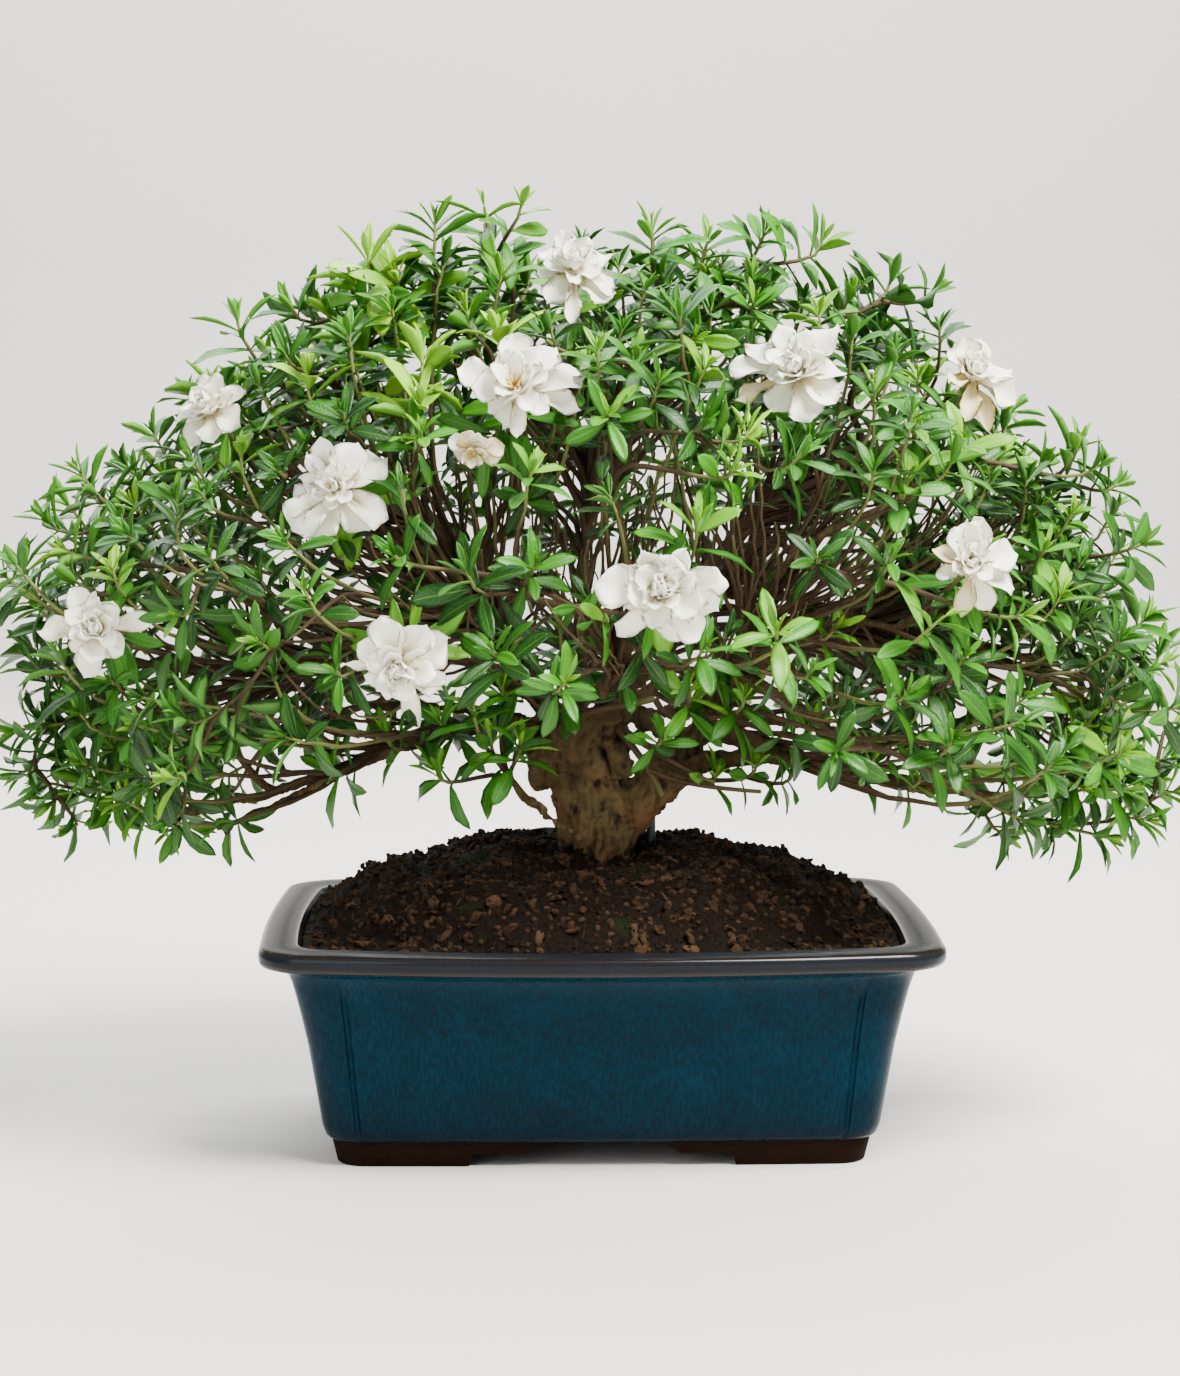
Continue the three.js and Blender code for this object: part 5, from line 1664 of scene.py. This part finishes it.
def keep_spray(context, name, spray, node):
    """Turns a spray's plan into its finished mesh and keeps it as a piece."""
    scene = context.scene
    shapes = bpy.data.collections.get("leaf_shapes") or lend_leaves()
    tree = bpy.data.node_groups.get("grow_sprays") or sprays_tree()
    rough = add_object(name + "_plan", spray.mesh(name + "_plan"))
    with_tree(rough, tree, {
        "Leaf Shapes": shapes, "Twig Sides": 5, "Leaf Scale": 1.0,
        "Twig Material": finish_of("twig_bark", twig_finish, scene.gardenia_wood),
        "Leaf Material": finish_of("gardenia_leaf", leaf_finish, scene.gardenia_leaf)})
    mesh = baked_mesh(rough, name)
    drop_layers(mesh, "twig_radius", "leaf_size", "is_leaf", "leaf_kind", "leaf_turn")
    keep_piece(name, mesh, [node])


# Shoots set one by one at the front: end, root, size of leaf, youth and pairs of leaves.
FRONT_SHOOTS = [
    ((-17, -44, 236), (-14, -26, 214), 0.95, 0.25, 8), ((44, -48, 230), (41, -30, 211), 0.95, 0.62, 8),
    ((58, -28, 184), (30, -16, 190), 0.7, 0.6, 6), ((78, -32, 190), (52, -20, 180), 0.75, 0.45, 7),
    ((96, -30, 186), (60, -18, 186), 0.8, 0.35, 7), ((-20, -54, 262), (-12, -30, 220), 1, 0.55, 8),
    ((12, -60, 250), (8, -28, 212), 0.85, 0.4, 8), ((-78, -54, 214), (-50, -26, 208), 1, 0.35, 8),
    ((-104, -46, 206), (-70, -22, 204), 1, 0.5, 8), ((70, -56, 226), (40, -26, 214), 0.95, 0.5, 8),
    ((104, -50, 212), (70, -24, 210), 0.95, 0.4, 8), ((136, -40, 196), (100, -20, 190), 0.9, 0.5, 8),
    ((-132, -38, 190), (-104, -20, 196), 0.95, 0.45, 8), ((-46, -58, 250), (-24, -26, 212), 1, 0.45, 8),
    ((30, -52, 206), (10, -24, 208), 0.75, 0.4, 7), ((160, -30, 184), (126, -16, 184), 0.9, 0.5, 8),
]
# Shoots that stand out of the top of the crown, and shoots that hang low at both its ends: end, size
# of leaf and youth.
OUTLYING_SHOOTS = [
    ((-56, -46, 462), 1.1, 0.5), ((-38, -46, 463), 1, 0.6), ((-80, -46, 455), 1.05, 0.4),
    ((-112, -50, 438), 1.35, 0.95), ((-98, -56, 428), 1.2, 0.8), ((25, -46, 451), 1.1, 0.4),
    ((52, -42, 446), 1, 0.45), ((80, -40, 450), 1, 0.4), ((108, -40, 446), 1.1, 0.5),
    ((142, -36, 427), 1.1, 0.25), ((163, -36, 422), 1.1, 0.3), ((-176, -40, 408), 1.1, 0.5),
    ((-150, -40, 414), 1.1, 0.4), ((-132, -44, 410), 1, 0.6), ((236, -34, 348), 1, 0.5),
    ((256, -30, 328), 1, 0.4), ((-254, -34, 334), 1.05, 0.5), ((-272, -30, 312), 1.05, 0.4),
    ((204, -22, 152), 0.9, 0.45), ((232, -20, 156), 1, 0.35), ((256, -18, 150), 1, 0.5),
    ((276, -10, 158), 1, 0.4), ((292, -6, 172), 1, 0.5), ((286, -16, 190), 1, 0.3),
    ((296, -4, 208), 1, 0.45), ((262, -30, 176), 1, 0.35), ((238, -34, 178), 0.95, 0.5),
    ((284, 14, 176), 1, 0.4), ((214, -36, 172), 1, 0.3), ((-292, -8, 204), 1, 0.45),
    ((-288, -16, 184), 1, 0.35), ((-272, -18, 170), 1, 0.5), ((-262, -20, 158), 0.9, 0.4),
    ((-282, 12, 176), 1, 0.3), ((-246, -24, 168), 1, 0.45), ((-214, -24, 156), 0.9, 0.35),
    ((-228, -34, 176), 1, 0.5), ((-190, -30, 160), 0.9, 0.4),
]
# The ends of the shoots of the low spray, from its drawn tip, with their size of leaf.
LOW_SHOOTS = [((0, 0, 0), 1.1), ((-26, -8, -16), 0.95), ((15, -4, -4), 0.85), ((-8, -10, 16), 0.9),
              ((6, 4, 24), 0.8)]
CALYX_SEPALS = 6
CALYX_LENGTH = 11
CALYX_LIFT = 62
# Bare pale twigs across the front of the trunk: radius at both ends and points.
FRONT_TWIGS = [
    (2.2, 1.8, [(-14, -34, 213), (-2, -40, 219), (12, -41, 219), (27, -40, 223)]),
    (1.8, 1.3, [(27, -40, 223), (31, -40, 214), (38, -41, 211), (44, -42, 214)]),
    (2.1, 1.5, [(10, -26, 206), (16, -34, 199), (25, -34, 188), (31, -32, 174)]),
    (1.6, 1.1, [(25, -34, 187), (36, -34, 181), (52, -34, 178), (80, -34, 176)]),
    (1.4, 0.9, [(18, -34, 202), (32, -38, 193), (46, -38, 185), (57, -37, 181)]),
]


def nearest_spray(sprays, place):
    """The spray of the dome whose branch ends nearest to a place."""
    return sprays[min(range(len(DOME)), key=lambda k: (DOME[k]["base"] - place).length)]


def stem_line(plan, end, way, pull, steps):
    """The line of a stem from its branch to an end, at which it runs in a given way."""
    base, reach = plan["base"], (end - plan["base"]).length
    return bezier(base, base + plan["heading"] * reach * 0.35, end - way * reach * pull, end, steps)


def grow_dome(sprays, places, leaf, rng):
    """The shoots all over the dome, those of the drawn tips first."""
    for tip, owner, depth in dome_tips(leaf, rng):
        if depth == "drawn":
            line = stem_line(DOME[owner], tip, outward(tip), 0.3, 9)
            start = 1.8
        else:
            long = rng.random() < LONG_TWIG_CHANCE
            line = places.twig(tip, way_of_tip(tip, rng), rng, inner_only=long)
            start = 1.75 if long else 1.25
        if not clear_of_blooms(line):
            continue
        # Inner shoots get darker, older leaves: partly their real age, partly painted shade inside the crown.
        age = 0.33 + 0.45 * noise.noise(tip / 45) + rng.gauss(0, 0.15) - 0.3 * (depth == "inner")
        size = leaf.leaf_length / MM * rng.uniform(0.72, 1.12)
        if (tip - LARGE_YOUNG_SHOOTS).length < 34:
            age, size = 0.95, leaf.leaf_length / MM * 1.2
        sprays[owner].twigs.append((line, start, 0.75, 0.5 + 0.5 * held(age)))
        pairs = rng.choice((5, 6, 7)) if depth == "inner" else rng.choice((7, 8, 9))
        grow_shoot(sprays[owner], line, size, age, rng, pairs, rng.uniform(0.8, 1.25))


def grow_bare_twigs(sprays, places, rng):
    """Fine twigs without leaves inside the crown."""
    for _ in range(BARE_TWIGS):
        from_top, around = rng.uniform(45, 108), rng.uniform(0, 360)
        tip = crown_point(from_top, around, rng.uniform(0.5, 0.92))
        if from_top > lowest_at(around) + 3 or hides_bloom(tip):
            continue
        line = places.twig(tip, way_of_tip(tip, rng, 0.3), rng, inner_only=True)
        if clear_of_blooms(line):
            nearest_spray(sprays, tip).twigs.append((line, rng.uniform(0.9, 1.7), 0.5, 0.1))


def grow_set_shoots(sprays, places, size, rng):
    """The shoots and twigs that are listed one by one."""
    for tip, root, share, age, pairs in FRONT_SHOOTS:
        tip, root = Vector(tip), Vector(root)
        spray, reach = nearest_spray(sprays, tip), (tip - root).length
        line = bezier(root, root.lerp(tip, 0.4) - UP * reach * 0.1, tip - UP * reach * 0.35, tip, 7)
        spray.twigs.append((line, 1.5, 0.9, 0.6))
        grow_shoot(spray, line, size * share, age, rng, pairs)
    for tip, share, age in OUTLYING_SHOOTS:
        tip = Vector(tip)
        spray = nearest_spray(sprays, tip)
        way = Vector((tip.x / 900, -0.1, 1)) if tip.z > 250 else Vector((tip.x / 300, -0.2, -0.15))
        line = places.twig(tip, way.normalized(), rng)
        spray.twigs.append((line, 1.4, 0.8, 0.7))
        grow_shoot(spray, line, size * share, age, rng, 8, 1.2)
    for start, end, points in FRONT_TWIGS:
        points = [Vector(p) for p in points]
        nearest_spray(sprays, points[-1]).twigs.append((bezier(*points, 9), start, end, 0.25))


def low_spray(size, rng):
    """The shoots on the low stem at the left of the trunk."""
    spray = Spray()
    for away, share in LOW_SHOOTS:
        end = LOW["tip"] + Vector(away)
        line = stem_line(LOW, end, UP, 0.4, 7)
        spray.twigs.append((line, 1.5, 0.8, 0.7))
        grow_shoot(spray, line, size * share, 0.5, rng, 7)
    return spray


class GARDENIA_OT_leafy_sprays(bpy.types.Operator):
    """Grows the leafy sprays of the crown, with their twigs and shoots"""
    bl_idname = "gardenia.leafy_sprays"
    bl_label = "Leafy sprays"

    def execute(self, context):
        leaf = context.scene.gardenia_leaf
        size = leaf.leaf_length / MM
        rng = random.Random(leaf.seed)
        sprays = [Spray() for _ in DOME]
        places = WoodPlaces()
        grow_dome(sprays, places, leaf, rng)
        grow_bare_twigs(sprays, places, rng)
        grow_set_shoots(sprays, places, size, rng)
        keep_spray(context, "low_leafy_spray", low_spray(size, rng), "leafy_spray_low")
        for k, spray in enumerate(sprays):
            keep_spray(context, f"crown_spray_{k + 1:02d}", spray, f"leafy_spray_{k + 1:02d}")
        return {"FINISHED"}


def flowering_spray(plan, size, rng):
    """The stem of a bloom, with pairs of leaves behind it and its calyx."""
    spray = Spray()
    end, facing = plan["end"], plan["facing"]
    spray.twigs.append((stem_line(plan, end, facing, 0.3, 9), 1.8, 1.3, 0.8))
    age = rng.uniform(0.3, 0.65)
    side, other = square_to(facing)
    for pair in range(5):
        for way in (0, math.pi):
            angle = way + pair * math.pi / 2 + rng.uniform(-0.35, 0.35)
            spray.leaf(end - facing * (5 + 5 * pair), out_at(side, other, angle), facing,
                       rng.uniform(-15, 25), rng.uniform(-25, 25), size * rng.uniform(0.85, 1.25),
                       rng.choice((0, 0, 1, 2)), age + rng.uniform(-0.15, 0.1))
    for sepal in range(CALYX_SEPALS):
        out = out_at(side, other, sepal * math.tau / CALYX_SEPALS)
        turn = turn_of(*raised(out, facing, math.radians(CALYX_LIFT)))
        spray.leaves.append((end - facing * 1.5, turn, CALYX_LENGTH, 2, 0.7))
    return spray


class GARDENIA_OT_flowering_sprays(bpy.types.Operator):
    """Grows the sprays that carry the blooms, with their leaves and green calyxes"""
    bl_idname = "gardenia.flowering_sprays"
    bl_label = "Flowering sprays"

    def execute(self, context):
        leaf = context.scene.gardenia_leaf
        for k, plan in enumerate(FLOWERING):
            spray = flowering_spray(plan, leaf.leaf_length / MM, random.Random(leaf.seed + 100 + k))
            keep_spray(context, f"flowering_stem_{k + 1:02d}", spray, f"flowering_spray_{k + 1:02d}")
        drop_shapes(bpy.data.collections["leaf_shapes"])
        return {"FINISHED"}


# -------- blooms

PETAL_SHARES = [0, 0.08, 0.18, 0.3, 0.42, 0.54, 0.65, 0.75, 0.84, 0.91, 0.97]
PETAL_ACROSS = [-1, -0.78, -0.52, -0.26, 0, 0.26, 0.52, 0.78, 1]
OUTER_WIDTHS = [0.05, 0.08, 0.135, 0.19, 0.24, 0.275, 0.295, 0.285, 0.235, 0.15, 0.045]
HEART_WIDTHS = [0.07, 0.13, 0.2, 0.28, 0.35, 0.4, 0.41, 0.385, 0.305, 0.19, 0.06]
# Whorls of the heart from the outside in: petals, share of its radius, lift, curl, cup, height.
HEART_WHORLS = [(6, 1.1, 34, 18, 22, 1.0), (5, 0.98, 58, 8, 34, 2.4), (5, 0.8, 76, -14, 44, 3.4),
                (4, 0.6, 90, -30, 54, 4.2)]
# Outer petals of each bloom, set one by one: the way each points in the bloom's face (0 is right, 90
# is up), its length, its share of a full width, its lift, its curl back and its further age.
OUTER_PETALS = [
    [(112, 22, 0.7, 24, 20), (76, 15, 0.8, 38, 10), (28, 20, 0.85, 6, 12), (345, 21, 1, -5, 25),
     (312, 21, 1.1, -10, 25), (268, 28, 0.55, -25, 5), (235, 19, 1.2, -8, 30), (182, 16, 0.9, 10, 30),
     (150, 18, 0.9, 16, 20)],
    [(97, 24, 1.25, 26, 16), (165, 28, 1, 2, 10), (215, 15, 0.9, 0, 30), (280, 21, 0.65, -10, 20),
     (322, 17, 0.9, 0, 20), (50, 25, 1.3, 12, 22), (22, 31, 1.15, -4, 28), (352, 30, 0.75, -15, 20),
     (250, 18, 0.8, -18, 30)],
    [(172, 33, 0.85, 2, 0), (150, 31, 0.7, 9, 6), (196, 32, 0.5, -12, 0, 0.6), (114, 25, 0.8, 28, 10),
     (86, 20, 1, 36, 6), (48, 28, 1.2, 26, 18), (8, 21, 1.1, 6, 38), (325, 22, 1.15, -5, 30),
     (292, 23, 1.25, -10, 26), (240, 20, 1.25, -5, 36)],
    [(100, 19, 1.1, 46, 0), (150, 18, 1, 40, 6), (200, 19, 0.9, 20, 20, 0.5), (250, 23, 0.8, -20, 20, 0.5),
     (290, 27, 0.6, -40, 10, 0.6), (330, 25, 1, -10, 10), (10, 23, 1.1, 10, 12), (56, 19, 1.1, 42, 0)],
    [(225, 27, 1.5, 12, 42), (196, 24, 1.2, 2, 42), (256, 24, 1.3, 0, 46), (165, 17, 0.7, 0, 10),
     (112, 23, 1, 16, -12), (132, 19, 0.65, 22, 0), (64, 22, 1.35, 22, 34), (30, 26, 1.3, 6, 48),
     (332, 26, 1.1, -10, 44), (300, 23, 1.1, -15, 34)],
    [(165, 29, 1.3, 12, 6), (108, 22, 0.9, 32, 0), (80, 17, 1.2, 32, 10), (55, 22, 0.8, 26, 0),
     (12, 28, 1.3, 2, 20), (340, 26, 1.25, -5, 26), (314, 26, 1.1, -5, 22), (284, 22, 1.35, -5, 32),
     (228, 29, 0.8, -28, 0), (190, 17, 1, 6, 36)],
    [(96, 19, 1, 42, 0), (126, 19, 0.9, 42, 0), (70, 21, 1, 36, 6), (160, 17, 0.8, 20, 20, 0.4),
     (200, 14, 0.8, 0, 30, 0.2), (10, 24, 1.1, 0, 26), (340, 26, 1.1, -15, 30), (300, 24, 0.85, -30, 20),
     (275, 25, 0.7, -45, 10, 0.45)],
    [(180, 28, 0.8, -4, 0, 0.2), (125, 21, 0.95, 12, 28), (100, 16, 0.9, 26, 10), (60, 15, 1, 30, 6),
     (10, 26, 0.65, -8, 0), (250, 24, 0.95, -15, 10), (225, 15, 0.9, 0, 30), (330, 15, 1, 10, 30),
     (290, 14, 1, 6, 30)],
    [(100, 23, 1.25, 12, 12), (60, 22, 1.15, 12, 16), (20, 24, 1.25, 0, 26), (340, 21, 1, -5, 30),
     (275, 38, 0.45, -35, -6), (300, 29, 0.5, -40, 0), (250, 19, 1.15, -10, 30), (176, 25, 0.32, -5, 0),
     (148, 19, 1.15, 12, 20), (205, 16, 1.1, 0, 36)],
    [(90, 17, 1.15, 32, 10), (140, 18, 1.15, 20, 20), (190, 18, 1.1, 6, 30), (240, 18, 1.1, 0, 36),
     (290, 17, 1.1, 0, 30), (340, 19, 1.15, 6, 30), (30, 18, 1.15, 16, 20)],
    [(110, 11, 1, 42, 20), (60, 11, 1.1, 36, 20, -0.3), (10, 12, 0.9, 0, 50),
     (320, 13, 0.8, -30, 40, -0.2), (280, 15, 0.7, -45, 30), (235, 14, 0.8, -40, 30, 0.2),
     (190, 12, 0.9, -10, 50), (150, 11, 0.9, 20, 30, -0.3)],
]


def petal_frames(root, out, up, size, lift, curl, twist, sway):
    """Centre line of a petal: it lifts from its root, bends mostly in its outer half and sways."""
    lift, curl, twist = (math.radians(angle) for angle in (lift, curl, twist))
    steps = 24
    across = up.cross(out)
    places, angles = [root.copy()], [lift]
    for k in range(1, steps + 1):
        angle = lift - curl * (k / steps) ** 1.7
        middle = (angle + angles[-1]) / 2
        step = out_at(out, up, middle) + across * (sway * k / steps)
        places.append(places[-1] + step * (size / steps))
        angles.append(angle)

    def at(share):
        k = min(int(share * steps), steps - 1)
        w = share * steps - k
        angle = angles[k] * (1 - w) + angles[k + 1] * w
        along, face = raised(out, up, angle)
        roll = Quaternion(along, twist * share)
        return places[k].lerp(places[k + 1], w), along, roll @ face, roll @ across
    return at


def grow_petal(build, root, out, up, size, lift, curl, cup, widths, age, rng):
    """A thin petal with a dished blade, an uneven waved edge and a turn of its own."""
    frames = petal_frames(root, out, up, size, lift, curl, rng.gauss(0, 24), rng.gauss(0, 0.2))
    phase, second, crease = rng.uniform(0, math.tau), rng.uniform(0, math.tau), rng.gauss(0, 1)
    ripple = size * rng.uniform(0.045, 0.11)
    dish = size * 0.4 * math.sin(math.radians(cup))
    pitch = rng.uniform(8, 13)

    def wave(share, across):
        edge = abs(across) ** 1.6
        outer = share * share
        return (dish * (edge - 0.35) * math.sin(math.pi * min(1, share * 1.15)) +
                ripple * edge * math.sin(pitch * share + phase + 1.7 * across) +
                ripple * 0.9 * math.sin(5 * share + second) * across * outer +
                0.08 * size * crease * outer * (0.4 - abs(across)))

    uneven = [1 + 0.09 * math.sin(7 * share + second) * share for share in PETAL_SHARES]
    grow_blade(build, frames, PETAL_SHARES, [w * size * u for w, u in zip(widths, uneven)], PETAL_ACROSS,
               math.radians(4), wave, 0.45, age)


def bloom_mesh(name, bloom, outer):
    """A double bloom: its outer petals, a ruffled heart with stamens, and a slim tube."""
    at, facing, _, heart_radius, whorls, age, seed = bloom
    rng = random.Random(seed)
    build = Build()
    heart, along = Vector(at), Vector(facing).normalized()
    right = UP.cross(along).normalized()
    upward = along.cross(right)

    def aged(more):
        return held(age + more + rng.uniform(-0.12, 0.12))

    line = [heart - along * (BLOOM_TUBE - 0.3 - k * 2.2) for k in range(7)]
    build.tube(line, [2.1, 1.8, 1.7, 1.9, 2.5, 3.4, 3.8], 12, tint=age * 0.4)
    for clock, size, share, lift, curl, *older in outer:
        out = out_at(right, upward, math.radians(clock))
        root = heart + out * 2.2 + along * rng.uniform(-0.6, 0.6)
        grow_petal(build, root, out, along, size, lift, curl, 10 + 16 * rng.random(),
                   [w * share * (24 / size) ** 0.6 for w in OUTER_WIDTHS], aged(sum(older)), rng)
    turn = rng.uniform(0, math.tau)
    lean = Vector((rng.gauss(0, 1), rng.gauss(0, 1), rng.gauss(0, 1))) * 0.2
    for layer, (petals, share, lift, curl, cup, height) in enumerate(HEART_WHORLS[:whorls]):
        turn += math.pi / petals + rng.uniform(-0.2, 0.2)
        for k in range(petals):
            out = out_at(right, upward, turn + math.tau * k / petals + rng.uniform(-0.25, 0.25))
            root = heart + along * height + out * max(0.6, 2.2 - 0.5 * layer)
            upright = (along + lean * (layer > 0)).normalized()
            grow_petal(build, root, out, upright, heart_radius * share * rng.uniform(0.85, 1.15),
                       lift + rng.uniform(-13, 13), curl + rng.uniform(-20, 20), cup, HEART_WIDTHS,
                       aged(-0.08 * layer), rng)
    stamens = len(build.kinds)
    for k in range(7):
        out = out_at(right, upward, turn + math.tau * k / 7)
        foot = heart + along * 3 + out * 1.2
        tip = heart + along * heart_radius * rng.uniform(0.42, 0.6)
        tip += out * heart_radius * rng.uniform(0.1, 0.28)
        build.tube([foot, foot.lerp(tip, 0.5) + along * 0.6, tip], [0.5, 0.75, 0.45], 6)
    build.kinds[stamens:] = [1] * (len(build.kinds) - stamens)
    return build.mesh(name)


class GARDENIA_OT_blooms(bpy.types.Operator):
    """Makes the white double blooms and the wilting one"""
    bl_idname = "gardenia.blooms"
    bl_label = "Blooms"

    def execute(self, context):
        settings = context.scene.gardenia_bloom
        petal = petal_finish(settings)
        pollen = plain_finish("pollen", settings.stamen, 0.7, 600.0, 0.3)
        for k, bloom in enumerate(BLOOMS):
            wilted = k == len(BLOOMS) - 1
            node = "bloom_wilted" if wilted else f"bloom_{k + 1:02d}"
            name = "wilting_bloom" if wilted else f"double_bloom_{k + 1:02d}"
            keep_piece(name, bloom_mesh(name, bloom, OUTER_PETALS[k]), [node], [petal, pollen])
        return {"FINISHED"}


# -------- stage

CAMERA_PLACE = (-0.042, -1.571, 0.366)
CAMERA_PITCH = 5.14
CAMERA_YAW = 1.387
CAMERA_LENS = 81.9


# Each light: its place, what it points at, its width and height, and its colour.
LIGHTS = [
    ("key", (0.9, -0.9, 1.9), (0, 0, 0.25), (1.1, 0.9), (1, 0.985, 0.96)),
    ("fill", (-1.4, -1.9, 0.9), (0, 0, 0.25), (1.4, 1.6), (0.94, 0.97, 1)),
    ("back", (-0.5, 1.1, 1.5), (0, 0, 0.3), (2.2, 1.2), (0.92, 0.97, 1)),
    ("backdrop", (0, 1.3, 2.6), (0, 3.2, 0.5), (3.4, 0.6), (0.96, 0.98, 1)),
]
WORLD_COLOUR = (0.9, 0.95, 1)
WORLD_STRENGTH = 0.45
# The floor in millimetres: how far it goes forwards and to each side, where its curve up into the
# backdrop starts, the radius of that curve, and the height of the backdrop.
FLOOR_REACH = 4500
CURVE_START = 2700
CURVE_RADIUS = 600
BACKDROP_HEIGHT = 3500


def area_light(name, watts, place, target, size, shade):
    data = bpy.data.lights.new(name, "AREA")
    data.shape = "RECTANGLE"
    data.size, data.size_y = size
    data.energy = watts
    data.color = shade
    light = add_object(name, data)
    light.location = place
    light.rotation_euler = (Vector(target) - Vector(place)).to_track_quat("-Z", "Y").to_euler()
    light.visible_camera = False


class GARDENIA_OT_stage(bpy.types.Operator):
    """Makes the pale floor with its backdrop, the soft lights and the camera"""
    bl_idname = "gardenia.stage"
    bl_label = "Stage"

    def execute(self, context):
        settings = context.scene.gardenia_stage
        build = Build()
        profile = [(-FLOOR_REACH, 0), (CURVE_START, 0)]
        for angle in range(10, 91, 10):
            out, up = math.sin(math.radians(angle)), 1 - math.cos(math.radians(angle))
            profile.append((CURVE_START + CURVE_RADIUS * out, CURVE_RADIUS * up))
        profile.append((CURVE_START + CURVE_RADIUS, BACKDROP_HEIGHT))
        rows = [build.ring([Vector((x, y, z)) for x in (-FLOOR_REACH, FLOOR_REACH)]) for y, z in profile]
        for lower, upper in zip(rows, rows[1:]):
            build.face([lower[0], lower[1], upper[1], upper[0]])
        floor = add_object("floor", build.mesh("floor"))
        floor.data.materials.append(floor_finish(settings.floor))
        for name, *light in LIGHTS:
            area_light(name, getattr(settings, name), *light)
        world = bpy.data.worlds.new("soft_room")
        world.use_nodes = True
        sky, strength = world.node_tree.nodes["Background"].inputs[:2]
        sky.default_value = (*WORLD_COLOUR, 1)
        strength.default_value = WORLD_STRENGTH
        context.scene.world = world
        data = bpy.data.cameras.new("camera")
        data.lens = CAMERA_LENS
        data.sensor_width = 36
        data.clip_start, data.clip_end = 0.05, 30
        camera = add_object("camera", data)
        camera.location = CAMERA_PLACE
        camera.rotation_euler = (math.radians(90 - CAMERA_PITCH), 0, math.radians(-CAMERA_YAW))
        context.scene.camera = camera
        return {"FINISHED"}


# -------- panel and registration

# Each operator, in order, with the name of its settings in the scene and their class.
STEPS = [
    (GARDENIA_OT_stage, "gardenia_stage", StageSettings),
    (GARDENIA_OT_pot, "gardenia_pot", PotSettings),
    (GARDENIA_OT_screens, None, None),
    (GARDENIA_OT_soil, "gardenia_soil", SoilSettings),
    (GARDENIA_OT_wood, "gardenia_wood", WoodSettings),
    (GARDENIA_OT_stake, None, None),
    (GARDENIA_OT_leafy_sprays, "gardenia_leaf", LeafSettings),
    (GARDENIA_OT_flowering_sprays, None, None),
    (GARDENIA_OT_blooms, "gardenia_bloom", BloomSettings),
]


class GARDENIA_PT_panel(bpy.types.Panel):
    """Lists the pieces of the gardenia with their sizes and colours"""
    bl_idname = "GARDENIA_PT_panel"
    bl_label = "Potted Gardenia"
    bl_space_type = "VIEW_3D"
    bl_region_type = "UI"
    bl_category = "Gardenia"

    def draw(self, context):
        for step, name, settings in STEPS:
            box = self.layout.box()
            box.operator(step.bl_idname)
            if settings:
                for label in settings.__annotations__:
                    box.prop(getattr(context.scene, name), label)


def register():
    for step, name, settings in STEPS:
        if settings:
            bpy.utils.register_class(settings)
            setattr(bpy.types.Scene, name, PointerProperty(type=settings))
        bpy.utils.register_class(step)
    bpy.utils.register_class(GARDENIA_PT_panel)


def unregister():
    bpy.utils.unregister_class(GARDENIA_PT_panel)
    for step, name, settings in STEPS:
        bpy.utils.unregister_class(step)
        if settings:
            delattr(bpy.types.Scene, name)
            bpy.utils.unregister_class(settings)


def main():
    register()
    for step, *_ in STEPS:
        family, name = step.bl_idname.split(".")
        getattr(getattr(bpy.ops, family), name)()


if __name__ == "__main__":
    main()
